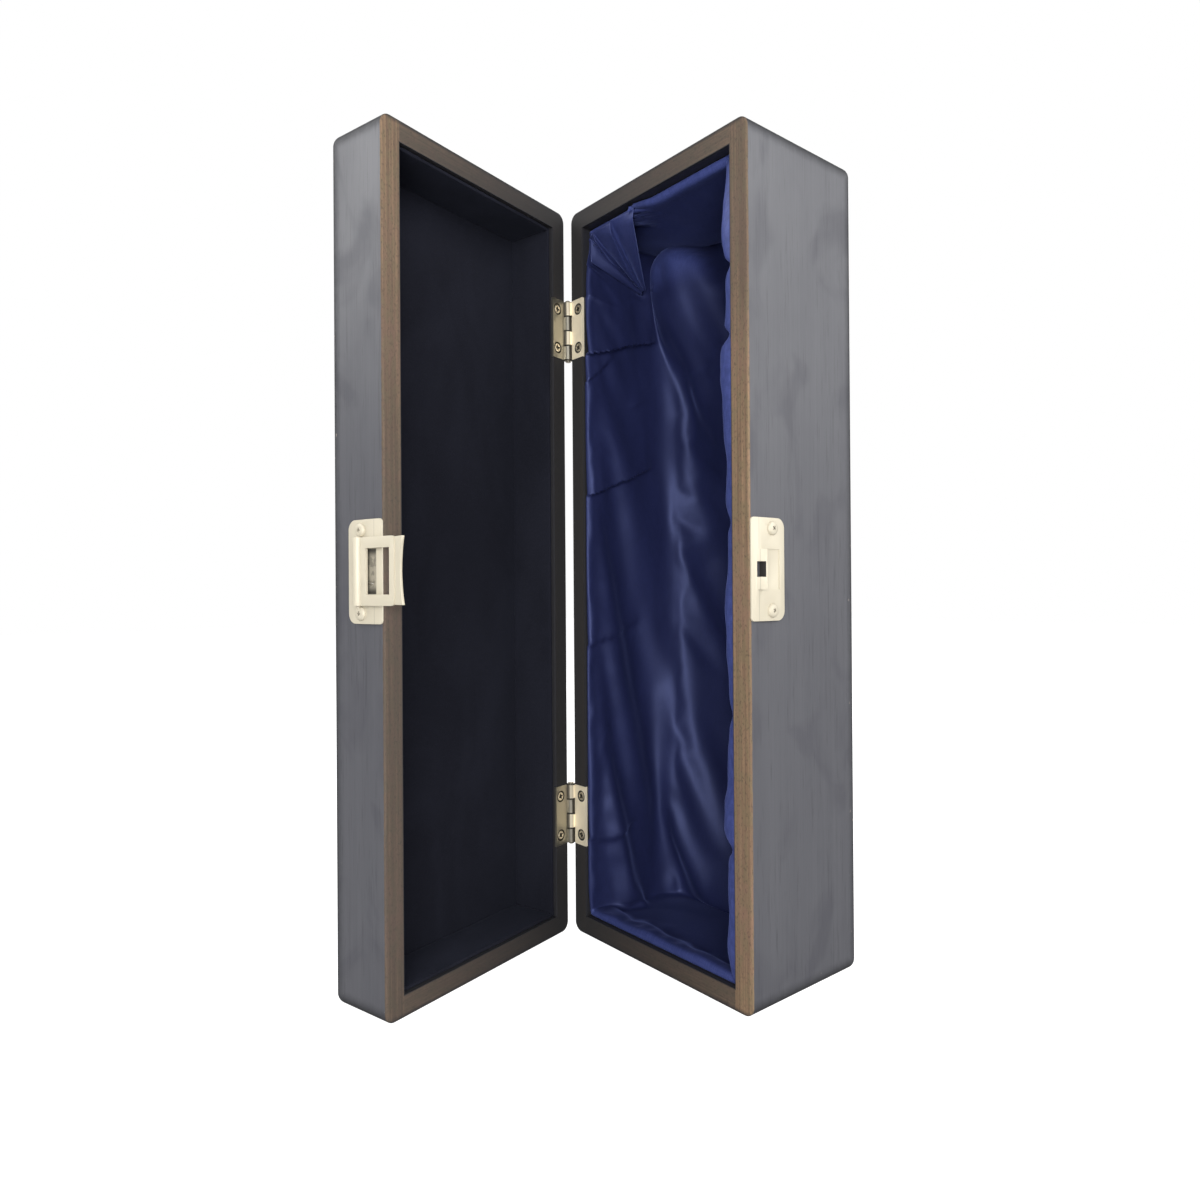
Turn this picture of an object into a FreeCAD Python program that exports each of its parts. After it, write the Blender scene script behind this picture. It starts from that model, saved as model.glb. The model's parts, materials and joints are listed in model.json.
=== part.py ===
# A wooden wine box for one bottle, standing on its end with its lid swung open.
# Millimetres, +Z up along the box. The origin is the middle of the tray's bottom end.
# The tray opens towards -Y, its hinges are on -X and its latch is on +X.
# Every piece is drawn with the lid shut and the tray's rim at y = 0. The whole box is then moved
# back by half of the tray's depth, and the lid's pieces are turned about the hinge axis.
import FreeCAD
import Part
import math
import os

import Sketcher
from FreeCAD import Placement, Rotation, Vector

doc = FreeCAD.newDocument("wine_box")
sheet = doc.addObject("Spreadsheet::Sheet", "size")

driving_sizes = {
    # the two wooden halves
    "box_height": "355",
    "box_width": "114",
    "tray_depth": "71",
    "lid_depth": "33",
    "board_thickness": "9",
    "panel_thickness": "6",
    "edge_round": "4.5",
    "rim_easing": "0.9",
    "rim_gap": "0.6",
    "lid_opening": "75",
    # butt hinges let into the rims
    "hinge_length": "29",
    "hinge_end_distance": "57.5",
    "hinge_axis_offset": "2.2",
    "leaf_thickness": "1.2",
    "knuckle_diameter": "4.8",
    "knuckle_gap": "0.3",
    "swing_gap": "0.3",
    "mortise_gap": "0.1",
    "hinge_pin_diameter": "2.5",
    "hinge_pin_head": "3.6",
    "hinge_pin_head_height": "0.7",
    "running_fit": "0.05",
    "axial_play": "0.1",
    # wood screws
    "screw_head": "4.8",
    "screw_shank": "2.4",
    "screw_tip": "2.5",
    "screw_fit": "0.05",
    "screw_crown": "0.6",
    "screw_crown_top": "3",
    "screw_slot_width": "0.7",
    "screw_slot_length": "2.6",
    "screw_slot_depth": "0.9",
    "hinge_screw_length": "12",
    "hinge_screw_spacing": "19",
    "hinge_screw_setback": "5.6",
    "latch_screw_length": "7.5",
    "latch_screw_spacing": "32.8",
    "latch_screw_setback": "12",
    # latch plate on the lid and keeper plate on the tray
    "latch_height": "176",
    "plate_length": "41",
    "plate_width": "19.5",
    "plate_thickness": "1.2",
    "plate_setback": "0.3",
    "plate_back_corner": "4",
    "plate_front_corner": "1.5",
    "strip_width": "4",
    "strip_drop": "0.6",
    # sprung lever
    "lever_width": "26.6",
    "lever_height": "2.6",
    "lever_thickness": "1.1",
    "lever_corner": "2",
    "pivot_setback": "11.5",
    "pivot_height": "3.1",
    "lever_knuckle_radius": "1.6",
    "lever_cover_thickness": "0.65",
    "window_length": "18",
    "window_setback": "6.3",
    "window_reach": "7.5",
    "lever_bar_width": "2.9",
    "lip_length": "6.5",
    "lip_inset": "0.4",
    "lip_step": "0.5",
    "lip_tilt": "14",
    "lip_hollow_depth": "2",
    "latch_pin_diameter": "1.2",
    "latch_pin_head": "2",
    "latch_pin_end": "0.4",
    "ear_radius": "1.3",
    "ear_length": "2",
    "ear_foot": "0.5",
    "ear_gap": "0.4",
    # torsion spring on the latch pin
    "spring_length": "7",
    "spring_turns": "6",
    "spring_wire": "0.5",
    "spring_radius": "1.02",
    "spring_long_leg": "8",
    "spring_short_leg": "0.6",
    # hook of the keeper
    "hook_length": "16",
    "hook_start": "2.8",
    "hook_height": "3.5",
    "latch_play": "0.35",
    "hook_slot_length": "6",
    "hook_slot_margin": "0.6",
    "pocket_depth": "0.4",
    "pocket_margin": "3",
    # dark velvet on card in the lid
    "velvet_thickness": "1.5",
    "velvet_drop": "2",
    # satin over wadding in the tray
    "hem_drop": "2.5",
    "satin_room": "6",
    "satin_crest": "5.2",
    "satin_valley": "2.2",
    "side_folds": "6",
    "end_folds": "3",
    "soft_gap": "0.3",
    "bed_edge": "2",
    "bed_crown": "4",
    "neck_rest_length": "54",
    "neck_rest_crown": "24",
    "neck_rest_dip": "17",
    "neck_rest_shoulder": "14",
    # how far a cut runs past the face that it starts from
    "cut_overrun": "1",
}
for row, (alias, amount) in enumerate(driving_sizes.items(), 1):
    sheet.set(f"A{row}", alias)
    sheet.set(f"B{row}", amount)
    sheet.setAlias(f"B{row}", alias)
doc.recompute()

# Places that many pieces share, as expressions on the sheet.
half_width = "(size.box_width / 2)"
inner_half = "(size.box_width / 2 - size.board_thickness)"
inner_top = "(size.box_height - size.board_thickness)"
lid_rim = "(-size.rim_gap)"
tray_floor = "(size.tray_depth - size.panel_thickness)"
lid_floor = "(-size.rim_gap - size.lid_depth + size.panel_thickness)"
hinge_x = "(-size.box_width / 2 - size.hinge_axis_offset)"
hinge_y = "(-size.rim_gap / 2)"
hinge_heights = {
    "upper": "(size.box_height - size.hinge_end_distance)",
    "lower": "(size.hinge_end_distance)",
}
plate_face = "(size.box_width / 2 + size.plate_thickness)"
pivot_x = "(size.box_width / 2 + size.pivot_height)"
pivot_y = "(-size.rim_gap - size.pivot_setback)"
standing_place = (
    "placement(vector(0; -size.tray_depth / 2; 0); rotation(vector(0; 0; 1); {angle}); "
    f"vector({hinge_x}; {hinge_y}; 0))"
)
tolerance = 1e-4
sub_parts = []


def number(alias):
    return float(sheet.get(alias))


def finish(piece, label, turns_with_lid=False):
    piece.Label = label
    angle = "-size.lid_opening" if turns_with_lid else "0"
    piece.setExpression("Placement", standing_place.replace("{angle}", angle))
    sub_parts.append(piece)
    return piece


# Solids bound to the sheet

def place(piece, x, y, z, rotation=Rotation()):
    piece.Placement = Placement(Vector(), rotation)
    for axis, expression in zip("xyz", (x, y, z)):
        piece.setExpression(f"Placement.Base.{axis}", expression)
    return piece


def box(name, x_range, y_range, z_range):
    piece = doc.addObject("Part::Box", name)
    for side, (low, high) in zip(("Length", "Width", "Height"), (x_range, y_range, z_range)):
        piece.setExpression(side, f"{high} - ({low})")
    return place(piece, x_range[0], y_range[0], z_range[0])


def rod(name, radius, x, y, z_range):
    piece = doc.addObject("Part::Cylinder", name)
    piece.setExpression("Radius", radius)
    piece.setExpression("Height", f"{z_range[1]} - ({z_range[0]})")
    return place(piece, x, y, z_range[0])


def cone(name, low_radius, high_radius, height, x="0", y="0", z="0", rotation=Rotation()):
    piece = doc.addObject("Part::Cone", name)
    piece.setExpression("Radius1", low_radius)
    piece.setExpression("Radius2", high_radius)
    piece.setExpression("Height", height)
    return place(piece, x, y, z, rotation)


def joined(name, pieces):
    union = doc.addObject("Part::MultiFuse", name)
    union.Shapes = pieces
    union.Refine = True
    return union


def without(name, base, tools):
    piece = doc.addObject("Part::Cut", name)
    piece.Base = base
    piece.Tool = tools[0] if len(tools) == 1 else joined(name + "_tools", tools)
    return piece


# Sketches and features of the boards and plates

def origin_plane(body, role):
    return next(plane for plane in body.Origin.OriginFeatures if plane.Role == role)


def sketch_on(body, name, role, offset):
    sketch = body.newObject("Sketcher::SketchObject", name)
    sketch.AttachmentSupport = [(origin_plane(body, role), "")]
    sketch.MapMode = "FlatFace"
    sketch.setExpression("AttachmentOffset.Base.z", offset)
    return sketch


def bind(sketch, constraint, label, expression):
    index = sketch.addConstraint(constraint)
    sketch.renameConstraint(index, label)
    sketch.setExpression(f"Constraints.{label}", expression)


def rectangle(body, name, role, offset, left, right, low, high):
    # the corners start anywhere, and the bound distances then place them
    sketch = sketch_on(body, name, role, offset)
    corners = [Vector(0, 0, 0), Vector(5, 0, 0), Vector(5, 5, 0), Vector(0, 5, 0)]
    for start, end in zip(corners, corners[1:] + corners[:1]):
        sketch.addGeometry(Part.LineSegment(start, end), False)
    for line in range(4):
        sketch.addConstraint(Sketcher.Constraint("Coincident", line, 2, (line + 1) % 4, 1))
    for line in (0, 2):
        sketch.addConstraint(Sketcher.Constraint("Horizontal", line))
    for line in (1, 3):
        sketch.addConstraint(Sketcher.Constraint("Vertical", line))
    bind(sketch, Sketcher.Constraint("DistanceX", -1, 1, 0, 1, 0.0), "left", left)
    bind(sketch, Sketcher.Constraint("DistanceX", -1, 1, 1, 2, 5.0), "right", right)
    bind(sketch, Sketcher.Constraint("DistanceY", -1, 1, 0, 1, 0.0), "low", low)
    bind(sketch, Sketcher.Constraint("DistanceY", -1, 1, 2, 2, 5.0), "high", high)
    return sketch


def circles(body, name, role, offset, radius, centres):
    sketch = sketch_on(body, name, role, offset)
    for index, (across, along) in enumerate(centres):
        sketch.addGeometry(Part.Circle(Vector(index * 9, 0, 0), Vector(0, 0, 1), 1), False)
        bind(sketch, Sketcher.Constraint("Radius", index, 1.0), f"radius{index}", radius)
        sideways = Sketcher.Constraint("DistanceX", -1, 1, index, 3, index * 9.0)
        upwards = Sketcher.Constraint("DistanceY", -1, 1, index, 3, 0.0)
        bind(sketch, sideways, f"across{index}", across)
        bind(sketch, upwards, f"along{index}", along)
    return sketch


def pad(body, name, profile, length, reverse):
    feature = body.newObject("PartDesign::Pad", name)
    feature.Profile = profile
    feature.setExpression("Length", length)
    feature.Reversed = reverse
    profile.Visibility = False
    doc.recompute()
    return feature


def pocket(body, name, profile, length, reverse):
    before = body.Tip.Shape.Volume
    feature = body.newObject("PartDesign::Pocket", name)
    feature.Profile = profile
    feature.setExpression("Length", length)
    feature.Reversed = reverse
    doc.recompute()
    if feature.Shape.Volume > before - tolerance:
        raise RuntimeError(f"{name} cuts nothing")
    return feature


def chosen_edges(shape, wanted):
    return [f"Edge{i}" for i, edge in enumerate(shape.Edges, 1) if wanted(edge.BoundBox)]


def rounded(body, name, radius, wanted):
    base = body.Tip
    feature = body.newObject("PartDesign::Fillet", name)
    feature.Base = (base, chosen_edges(base.Shape, wanted))
    feature.setExpression("Radius", radius)
    doc.recompute()
    return feature


def at(a, b):
    return abs(a - b) < tolerance


def runs_along(edge_box, axis):
    lengths = {"x": edge_box.XLength, "y": edge_box.YLength, "z": edge_box.ZLength}
    return all(length < tolerance for name, length in lengths.items() if name != axis)


# The tray and the lid are two shallow cases built alike
cases = {
    "tray": {
        "rim": "0",
        "depth": tray_floor,
        "floor_offset": f"-{tray_floor}",
        "grows_back": True,
        "turns": False,
    },
    "lid": {
        "rim": "size.rim_gap",
        "depth": "(size.lid_depth - size.panel_thickness)",
        "floor_offset": f"-{lid_floor}",
        "grows_back": False,
        "turns": True,
    },
}


def case_block(label, case, offset, depth, left, right, low, high):
    body = doc.addObject("PartDesign::Body", label)
    outline = rectangle(body, label + "_outline", "XZ_Plane", offset, left, right, low, high)
    pad(body, label + "_stock", outline, depth, case["grows_back"])
    return body


def rim_level(body, case):
    limits = body.Tip.Shape.BoundBox
    return limits.YMin if case["grows_back"] else limits.YMax


def side_wall(half, side):
    label = f"{half}_{side}_side_wall"
    case = cases[half]
    left, right = {
        "hinge": (f"-{half_width}", f"-{inner_half}"),
        "latch": (inner_half, half_width),
    }[side]
    body = case_block(label, case, case["rim"], case["depth"], left, right, "0", "size.box_height")
    limits = body.Tip.Shape.BoundBox
    outside, inside = (limits.XMin, limits.XMax) if side == "hinge" else (limits.XMax, limits.XMin)
    rim = rim_level(body, case)
    rounded(body, label + "_corners", "size.edge_round",
            lambda edge: runs_along(edge, "y") and at(edge.XMin, outside))
    rounded(body, label + "_rim", "size.rim_easing",
            lambda edge: edge.YLength < tolerance and at(edge.YMin, rim)
            and not (runs_along(edge, "z") and at(edge.XMin, inside)))
    return body, label, case


def hinge_side_wall(half):
    body, label, case = side_wall(half, "hinge")
    for place_name, middle in hinge_heights.items():
        reach = "(size.hinge_length / 2 + size.mortise_gap)"
        seat = rectangle(body, f"{label}_{place_name}_seat", "XZ_Plane", case["rim"],
                         f"-{half_width} - size.cut_overrun", f"-{inner_half} + size.cut_overrun",
                         f"{middle} - {reach}", f"{middle} + {reach}")
        pocket(body, f"{label}_{place_name}_mortise", seat, "size.leaf_thickness", not case["grows_back"])
        screw_x = f"-{half_width} + size.hinge_screw_setback"
        marks = circles(body, f"{label}_{place_name}_marks", "XZ_Plane", case["rim"],
                        "size.screw_shank / 2 + size.screw_fit",
                        [(screw_x, f"{middle} + {sign} * size.hinge_screw_spacing / 2") for sign in (1, -1)])
        pocket(body, f"{label}_{place_name}_pilots", marks,
               "size.hinge_screw_length + 2 * size.axial_play", not case["grows_back"])
    return finish(body, label, case["turns"])


def latch_screw_y(half):
    setback = "(size.plate_setback + size.latch_screw_setback)"
    return setback if half == "tray" else f"({lid_rim} - {setback})"


def latch_side_wall(half):
    body, label, case = side_wall(half, "latch")
    marks = circles(body, label + "_marks", "YZ_Plane", half_width, "size.screw_shank / 2 + size.screw_fit",
                    [(latch_screw_y(half), f"size.latch_height + {sign} * size.latch_screw_spacing / 2")
                     for sign in (1, -1)])
    pocket(body, label + "_pilots", marks,
           "size.latch_screw_length - size.plate_thickness + 2 * size.axial_play", False)
    return finish(body, label, case["turns"])


def end_board(half, end):
    label = f"{half}_{end}_end"
    case = cases[half]
    low, high = ("0", "size.board_thickness") if end == "bottom" else (inner_top, "size.box_height")
    body = case_block(label, case, case["rim"], case["depth"], f"-{inner_half}", inner_half, low, high)
    limits = body.Tip.Shape.BoundBox
    outside = limits.ZMin if end == "bottom" else limits.ZMax
    rim = rim_level(body, case)
    rounded(body, label + "_rim", "size.rim_easing",
            lambda edge: runs_along(edge, "x") and at(edge.YMin, rim) and at(edge.ZMin, outside))
    return finish(body, label, case["turns"])


def outer_panel(half, label):
    case = cases[half]
    body = case_block(label, case, case["floor_offset"], "size.panel_thickness",
                      f"-{half_width}", half_width, "0", "size.box_height")
    limits = body.Tip.Shape.BoundBox
    face = limits.YMax if case["grows_back"] else limits.YMin
    rounded(body, label + "_edges", "size.edge_round",
            lambda edge: runs_along(edge, "y") or (edge.YLength < tolerance and at(edge.YMin, face)))
    return finish(body, label, case["turns"])


# Screws, drawn point down with the head's rim at zero and then laid in place

def screw(name, length, head_height, crowned, x, y, z, rotation):
    head_radius = "size.screw_head / 2"
    shank_radius = "size.screw_shank / 2"
    pieces = [
        cone(name + "_head", shank_radius, head_radius, head_height, z=f"-{head_height}"),
        rod(name + "_shank", shank_radius, "0", "0", (f"size.screw_tip - {length}", f"-{head_height}")),
        cone(name + "_tip", "0", shank_radius, "size.screw_tip", z=f"-{length}"),
    ]
    floor = "-size.screw_slot_depth"
    if crowned:
        pieces.append(cone(name + "_crown", head_radius, "size.screw_crown_top / 2", "size.screw_crown"))
        floor = "size.screw_crown - size.screw_slot_depth"
    depth = (floor, "size.screw_crown")
    long_way = ("-size.screw_slot_length / 2", "size.screw_slot_length / 2")
    short_way = ("-size.screw_slot_width / 2", "size.screw_slot_width / 2")
    slots = [
        box(name + "_slot_a", long_way, short_way, depth),
        box(name + "_slot_b", short_way, long_way, depth),
    ]
    return place(without(name, joined(name + "_blank", pieces), slots), x, y, z, rotation)


def screw_seat(name, thickness, x, y, z, rotation):
    shank_hole = "size.screw_shank / 2 + size.screw_fit"
    return cone(name, shank_hole, "size.screw_head / 2 + size.screw_fit", thickness, x, y, z, rotation)


def screw_pair(label, screws, turns):
    pair = doc.addObject("Part::Compound", label)
    pair.Links = screws
    return finish(pair, label, turns)


# Hinges

def knuckle_range(middle, index):
    top = f"({middle} + size.hinge_length / 2 - {index} * size.hinge_length / 4)"
    return (f"{top} - size.hinge_length / 4 + size.knuckle_gap / 2", f"{top} - size.knuckle_gap / 2")


def hinge_leaf(place_name, half):
    label = f"{place_name}_hinge_{half}_leaf"
    middle = hinge_heights[place_name]
    in_tray = half == "tray"
    thickness = ("0", "size.leaf_thickness") if in_tray else (f"{lid_rim} - size.leaf_thickness", lid_rim)
    full_length = (f"{middle} - size.hinge_length / 2", f"{middle} + size.hinge_length / 2")
    plate_start = f"({hinge_x} + size.knuckle_diameter / 2 + size.swing_gap)"
    pieces = [box(label + "_plate", (plate_start, f"-{inner_half}"), thickness, full_length)]
    for index in (0, 2) if in_tray else (1, 3):
        span = knuckle_range(middle, index)
        neck_start = f"({hinge_x} + (size.knuckle_diameter + size.hinge_pin_diameter) / 4)"
        neck = (neck_start, f"{plate_start} + size.swing_gap")
        pieces.append(box(f"{label}_neck{index}", neck, thickness, span))
        pieces.append(rod(f"{label}_knuckle{index}", "size.knuckle_diameter / 2", hinge_x, hinge_y, span))
    tools = [rod(label + "_bore", "size.hinge_pin_diameter / 2 + size.running_fit", hinge_x, hinge_y,
                 (f"{full_length[0]} - size.cut_overrun", f"{full_length[1]} + size.cut_overrun"))]
    screws = []
    surface = "0" if in_tray else lid_rim
    towards_wood = Rotation(Vector(1, 0, 0), 90 if in_tray else -90)
    seat_bottom = thickness[1] if in_tray else thickness[0]
    screw_x = f"-{half_width} + size.hinge_screw_setback"
    for name, sign in (("high", 1), ("low", -1)):
        height = f"{middle} + {sign} * size.hinge_screw_spacing / 2"
        tools.append(screw_seat(f"{label}_{name}_seat", "size.leaf_thickness",
                                screw_x, seat_bottom, height, towards_wood))
        screws.append(screw(f"{label}_{name}_screw", "size.hinge_screw_length", "size.leaf_thickness", False,
                            screw_x, surface, height, towards_wood))
    leaf = without(label, joined(label + "_blank", pieces), tools)
    screw_pair(f"{place_name}_hinge_{half}_screws", screws, not in_tray)
    return finish(leaf, label, not in_tray)


def hinge_pin(place_name):
    label = f"{place_name}_hinge_pin"
    middle = hinge_heights[place_name]
    low = f"({middle} - size.hinge_length / 2 - size.axial_play)"
    high = f"({middle} + size.hinge_length / 2 + size.axial_play)"
    head = "size.hinge_pin_head / 2"
    crown = "size.hinge_pin_head / 2 - size.hinge_pin_head_height"
    upside_down = Rotation(Vector(1, 0, 0), 180)
    return finish(joined(label, [
        rod(label + "_shank", "size.hinge_pin_diameter / 2", hinge_x, hinge_y, (low, high)),
        cone(label + "_top", head, crown, "size.hinge_pin_head_height", hinge_x, hinge_y, high),
        cone(label + "_foot", head, crown, "size.hinge_pin_head_height", hinge_x, hinge_y, low, upside_down),
    ]), label)


# Latch

def height_range(length):
    return (f"size.latch_height - {length} / 2", f"size.latch_height + {length} / 2")


def plate_stock(label, half):
    body = doc.addObject("PartDesign::Body", label + "_stock")
    if half == "tray":
        front, back = "size.plate_setback", "size.plate_setback + size.plate_width"
    else:
        front, back = f"{lid_rim} - size.plate_setback - size.plate_width", f"{lid_rim} - size.plate_setback"
    low, high = height_range("size.plate_length")
    outline = rectangle(body, label + "_outline", "YZ_Plane", half_width, front, back, low, high)
    pad(body, label + "_sheet", outline, "size.plate_thickness", False)
    limits = body.Tip.Shape.BoundBox
    rim_side, far_side = (limits.YMin, limits.YMax) if half == "tray" else (limits.YMax, limits.YMin)
    rounded(body, label + "_far_corners", "size.plate_back_corner",
            lambda edge: runs_along(edge, "x") and at(edge.YMin, far_side))
    rounded(body, label + "_rim_corners", "size.plate_front_corner",
            lambda edge: runs_along(edge, "x") and at(edge.YMin, rim_side))
    return body


def rim_strip(label, half):
    # the sheet thins to a slope along the rim, over the full length of the plate
    strip = doc.addObject("Part::Wedge", label + "_strip")
    low, high = height_range("size.plate_length")
    inner_edge = "(size.plate_setback + size.strip_width)"
    start, end = f"{low} - size.cut_overrun", f"{high} + size.cut_overrun"
    edges = {"Zmin": start, "Z2min": start, "Zmax": end, "Z2max": end}
    outside = f"{plate_face} + size.cut_overrun"
    shallow = {"min": plate_face, "max": outside}
    deep = {"min": f"{plate_face} - size.strip_drop", "max": outside}
    if half == "tray":
        edges.update({"Ymin": "size.plate_setback", "Ymax": inner_edge})
        first, second = deep, shallow
    else:
        edges.update({"Ymin": f"{lid_rim} - {inner_edge}", "Ymax": f"{lid_rim} - size.plate_setback"})
        first, second = shallow, deep
    edges.update({"Xmin": first["min"], "Xmax": first["max"]})
    edges.update({"X2min": second["min"], "X2max": second["max"]})
    for name, expression in edges.items():
        strip.setExpression(name, expression)
    return strip


def plate_screws(label, half):
    into_wood = Rotation(Vector(0, 1, 0), 90)
    seats, screws = [], []
    for name, sign in (("high", 1), ("low", -1)):
        height = f"size.latch_height + {sign} * size.latch_screw_spacing / 2"
        seats.append(screw_seat(f"{label}_{name}_seat", "size.plate_thickness",
                                half_width, latch_screw_y(half), height, into_wood))
        screws.append(screw(f"{label}_{name}_screw", "size.latch_screw_length", "size.plate_thickness", True,
                            plate_face, latch_screw_y(half), height, into_wood))
    return seats, screws


def ear_range(sign):
    near = "(size.spring_length / 2 + size.spring_wire / 2 + size.ear_gap)"
    far = f"({near} + size.ear_length)"
    return (f"size.latch_height + {near}", f"size.latch_height + {far}") if sign > 0 else (
        f"size.latch_height - {far}", f"size.latch_height - {near}")


def latch_plate():
    label = "latch_plate"
    pieces = [plate_stock(label, "lid")]
    for name, sign in (("high", 1), ("low", -1)):
        span = ear_range(sign)
        foot = (f"{pivot_y} - size.ear_foot", f"{pivot_y} + size.ear_radius")
        pieces.append(box(f"{label}_{name}_foot", (f"{plate_face} - size.strip_drop", pivot_x), foot, span))
        pieces.append(rod(f"{label}_{name}_ear", "size.ear_radius", pivot_x, pivot_y, span))
    seats, screws = plate_screws(label, "lid")
    bore = rod(label + "_bore", "size.latch_pin_diameter / 2 + size.running_fit", pivot_x, pivot_y,
               height_range("size.lever_width"))
    screw_pair("latch_screws", screws, True)
    plate = without(label, joined(label + "_blank", pieces), seats + [bore, rim_strip(label, "lid")])
    return finish(plate, label, True)


def latch_lever():
    label = "latch_lever"
    full = height_range("size.lever_width")
    under = "(size.box_width / 2 + size.lever_height)"
    over = f"({under} + size.lever_thickness)"
    bar_front = f"({lid_rim} + size.window_reach + size.lever_bar_width)"
    sheet_piece = box(label + "_sheet", (under, over), (pivot_y, bar_front), full)
    doc.recompute()
    corner = number("lever_corner")
    softened = doc.addObject("Part::Fillet", label + "_rounded_sheet")
    softened.Base = sheet_piece
    softened.Edges = [
        (index, corner, corner) for index, edge in enumerate(sheet_piece.Shape.Edges, 1)
        if runs_along(edge.BoundBox, "x") and at(edge.BoundBox.YMax, sheet_piece.Shape.BoundBox.YMax)
    ]
    cover_radius = "size.lever_knuckle_radius + size.lever_cover_thickness"
    cover = rod(label + "_cover", cover_radius, pivot_x, pivot_y, full)
    cover.Angle = 180
    cover.Placement = Placement(Vector(), Rotation(Vector(0, 0, 1), -90))
    lip = doc.addObject("Part::Box", label + "_lip")
    lip.setExpression("Length", "size.lever_thickness")
    lip.setExpression("Width", "size.lip_length")
    lip.setExpression("Height", "size.lever_width - 2 * size.lip_inset")
    place(lip, f"{under} - size.lip_step", f"{bar_front} - size.lip_step",
          f"{full[0]} + size.lip_inset")
    lip.setExpression("Placement.Rotation.Angle", "-size.lip_tilt")
    # the thumb edge of the lip is hollowed by a cylinder as wide as the lip
    hollow_radius = ("((size.lever_width / 2) ^ 2 + size.lip_hollow_depth ^ 2)"
                     " / (2 * size.lip_hollow_depth)")
    hollow = doc.addObject("Part::Cylinder", label + "_hollow")
    hollow.setExpression("Radius", hollow_radius)
    hollow.setExpression("Height", "4 * size.pivot_height")
    place(hollow, half_width,
          f"{bar_front} + size.lip_length - size.lip_step - size.lip_hollow_depth + {hollow_radius}",
          "size.latch_height", Rotation(Vector(0, 1, 0), 90))
    window = box(label + "_window", (half_width, f"{over} + {cover_radius}"),
                 (f"{lid_rim} - size.window_setback", f"{lid_rim} + size.window_reach"),
                 height_range("size.window_length"))
    room = height_range("(size.spring_length + size.spring_wire + 4 * size.ear_gap + 2 * size.ear_length)")
    spring_room = rod(label + "_room", "size.lever_knuckle_radius", pivot_x, pivot_y, room)
    knuckles = [
        rod(label + "_low_knuckle", "size.lever_knuckle_radius", pivot_x, pivot_y, (full[0], room[0])),
        rod(label + "_high_knuckle", "size.lever_knuckle_radius", pivot_x, pivot_y, (room[1], full[1])),
    ]
    bore = rod(label + "_bore", "size.latch_pin_diameter / 2 + size.running_fit", pivot_x, pivot_y,
               (f"{full[0]} - size.cut_overrun", f"{full[1]} + size.cut_overrun"))
    blank = joined(label + "_blank", [softened, cover, lip] + knuckles)
    return finish(without(label, blank, [window, spring_room, bore, hollow]), label, True)


def latch_pin():
    label = "latch_pin"
    radius = "size.latch_pin_diameter / 2"
    head = "size.latch_pin_head / 2"
    low, high = height_range("(size.lever_width + 2 * size.axial_play)")
    upside_down = Rotation(Vector(1, 0, 0), 180)
    return finish(joined(label, [
        rod(label + "_shank", radius, pivot_x, pivot_y, (low, high)),
        cone(label + "_top", head, radius, "size.latch_pin_end", pivot_x, pivot_y, high),
        cone(label + "_foot", head, radius, "size.latch_pin_end", pivot_x, pivot_y, low, upside_down),
    ]), label, True)


def arc_from(start, tangent, end):
    chord = end - start
    along = Vector(chord).normalize()
    side = tangent - along * tangent.dot(along)
    if side.Length < tolerance:
        return Part.LineSegment(start, end).toShape()
    half_turn = tangent.getAngle(along)
    rise = side.normalize() * (chord.Length / 2 * math.tan(half_turn / 2))
    return Part.Arc(start, start + chord / 2 + rise, end).toShape()


def biarc(start, start_tangent, end, end_tangent):
    chord = end - start
    both = start_tangent + end_tangent
    spread = 2 * (1 - start_tangent.dot(end_tangent))
    reach = chord.dot(both)
    length = (math.sqrt(reach ** 2 + spread * chord.dot(chord)) - reach) / spread
    middle = (start + end + (start_tangent - end_tangent) * length) / 2
    middle_tangent = (middle - start - start_tangent * length).normalize()
    return [arc_from(start, start_tangent, middle), arc_from(middle, middle_tangent, end)]


def latch_spring():
    label = "latch_spring"
    radius = number("spring_radius")
    half_turn = 0.5
    turns = number("spring_turns") + half_turn
    pitch = number("spring_length") / turns
    wire = number("spring_wire")
    axis = Vector(number("box_width") / 2 + number("pivot_height"),
                  -number("rim_gap") - number("pivot_setback"),
                  number("latch_height") - number("spring_length") / 2)

    def on_coil(turn):
        angle = math.pi + 2 * math.pi * turn
        spot = axis + Vector(radius * math.cos(angle), radius * math.sin(angle), pitch * turn)
        slope = Vector(-radius * math.sin(angle), radius * math.cos(angle), pitch / (2 * math.pi))
        return spot, slope.normalize()

    steps = round(4 * turns)
    stations = [on_coil(turns * step / steps) for step in range(steps + 1)]
    first, first_tangent = stations[0]
    last, last_tangent = stations[-1]
    edges = [Part.LineSegment(first - first_tangent * number("spring_long_leg"), first).toShape()]
    for (start, start_tangent), (end, end_tangent) in zip(stations, stations[1:]):
        edges += biarc(start, start_tangent, end, end_tangent)
    edges.append(Part.LineSegment(last, last + last_tangent * number("spring_short_leg")).toShape())
    path = Part.Wire(edges)
    start = path.Vertexes[0].Point
    ring = Part.Wire(Part.Circle(start, first_tangent, wire / 2).toShape())
    spring = doc.addObject("Part::Feature", label)
    spring.Shape = path.makePipeShell([ring], True, False)
    samples = 400
    spots = [on_coil(turns * step / samples)[0] for step in range(samples + 1)]
    apart = samples / turns / 2
    least = min((a - b).Length for i, a in enumerate(spots) for j, b in enumerate(spots) if j - i > apart)
    print(f"latch spring: least gap between turns {least - wire:.2f} mm")
    return finish(spring, label, True)


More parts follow.
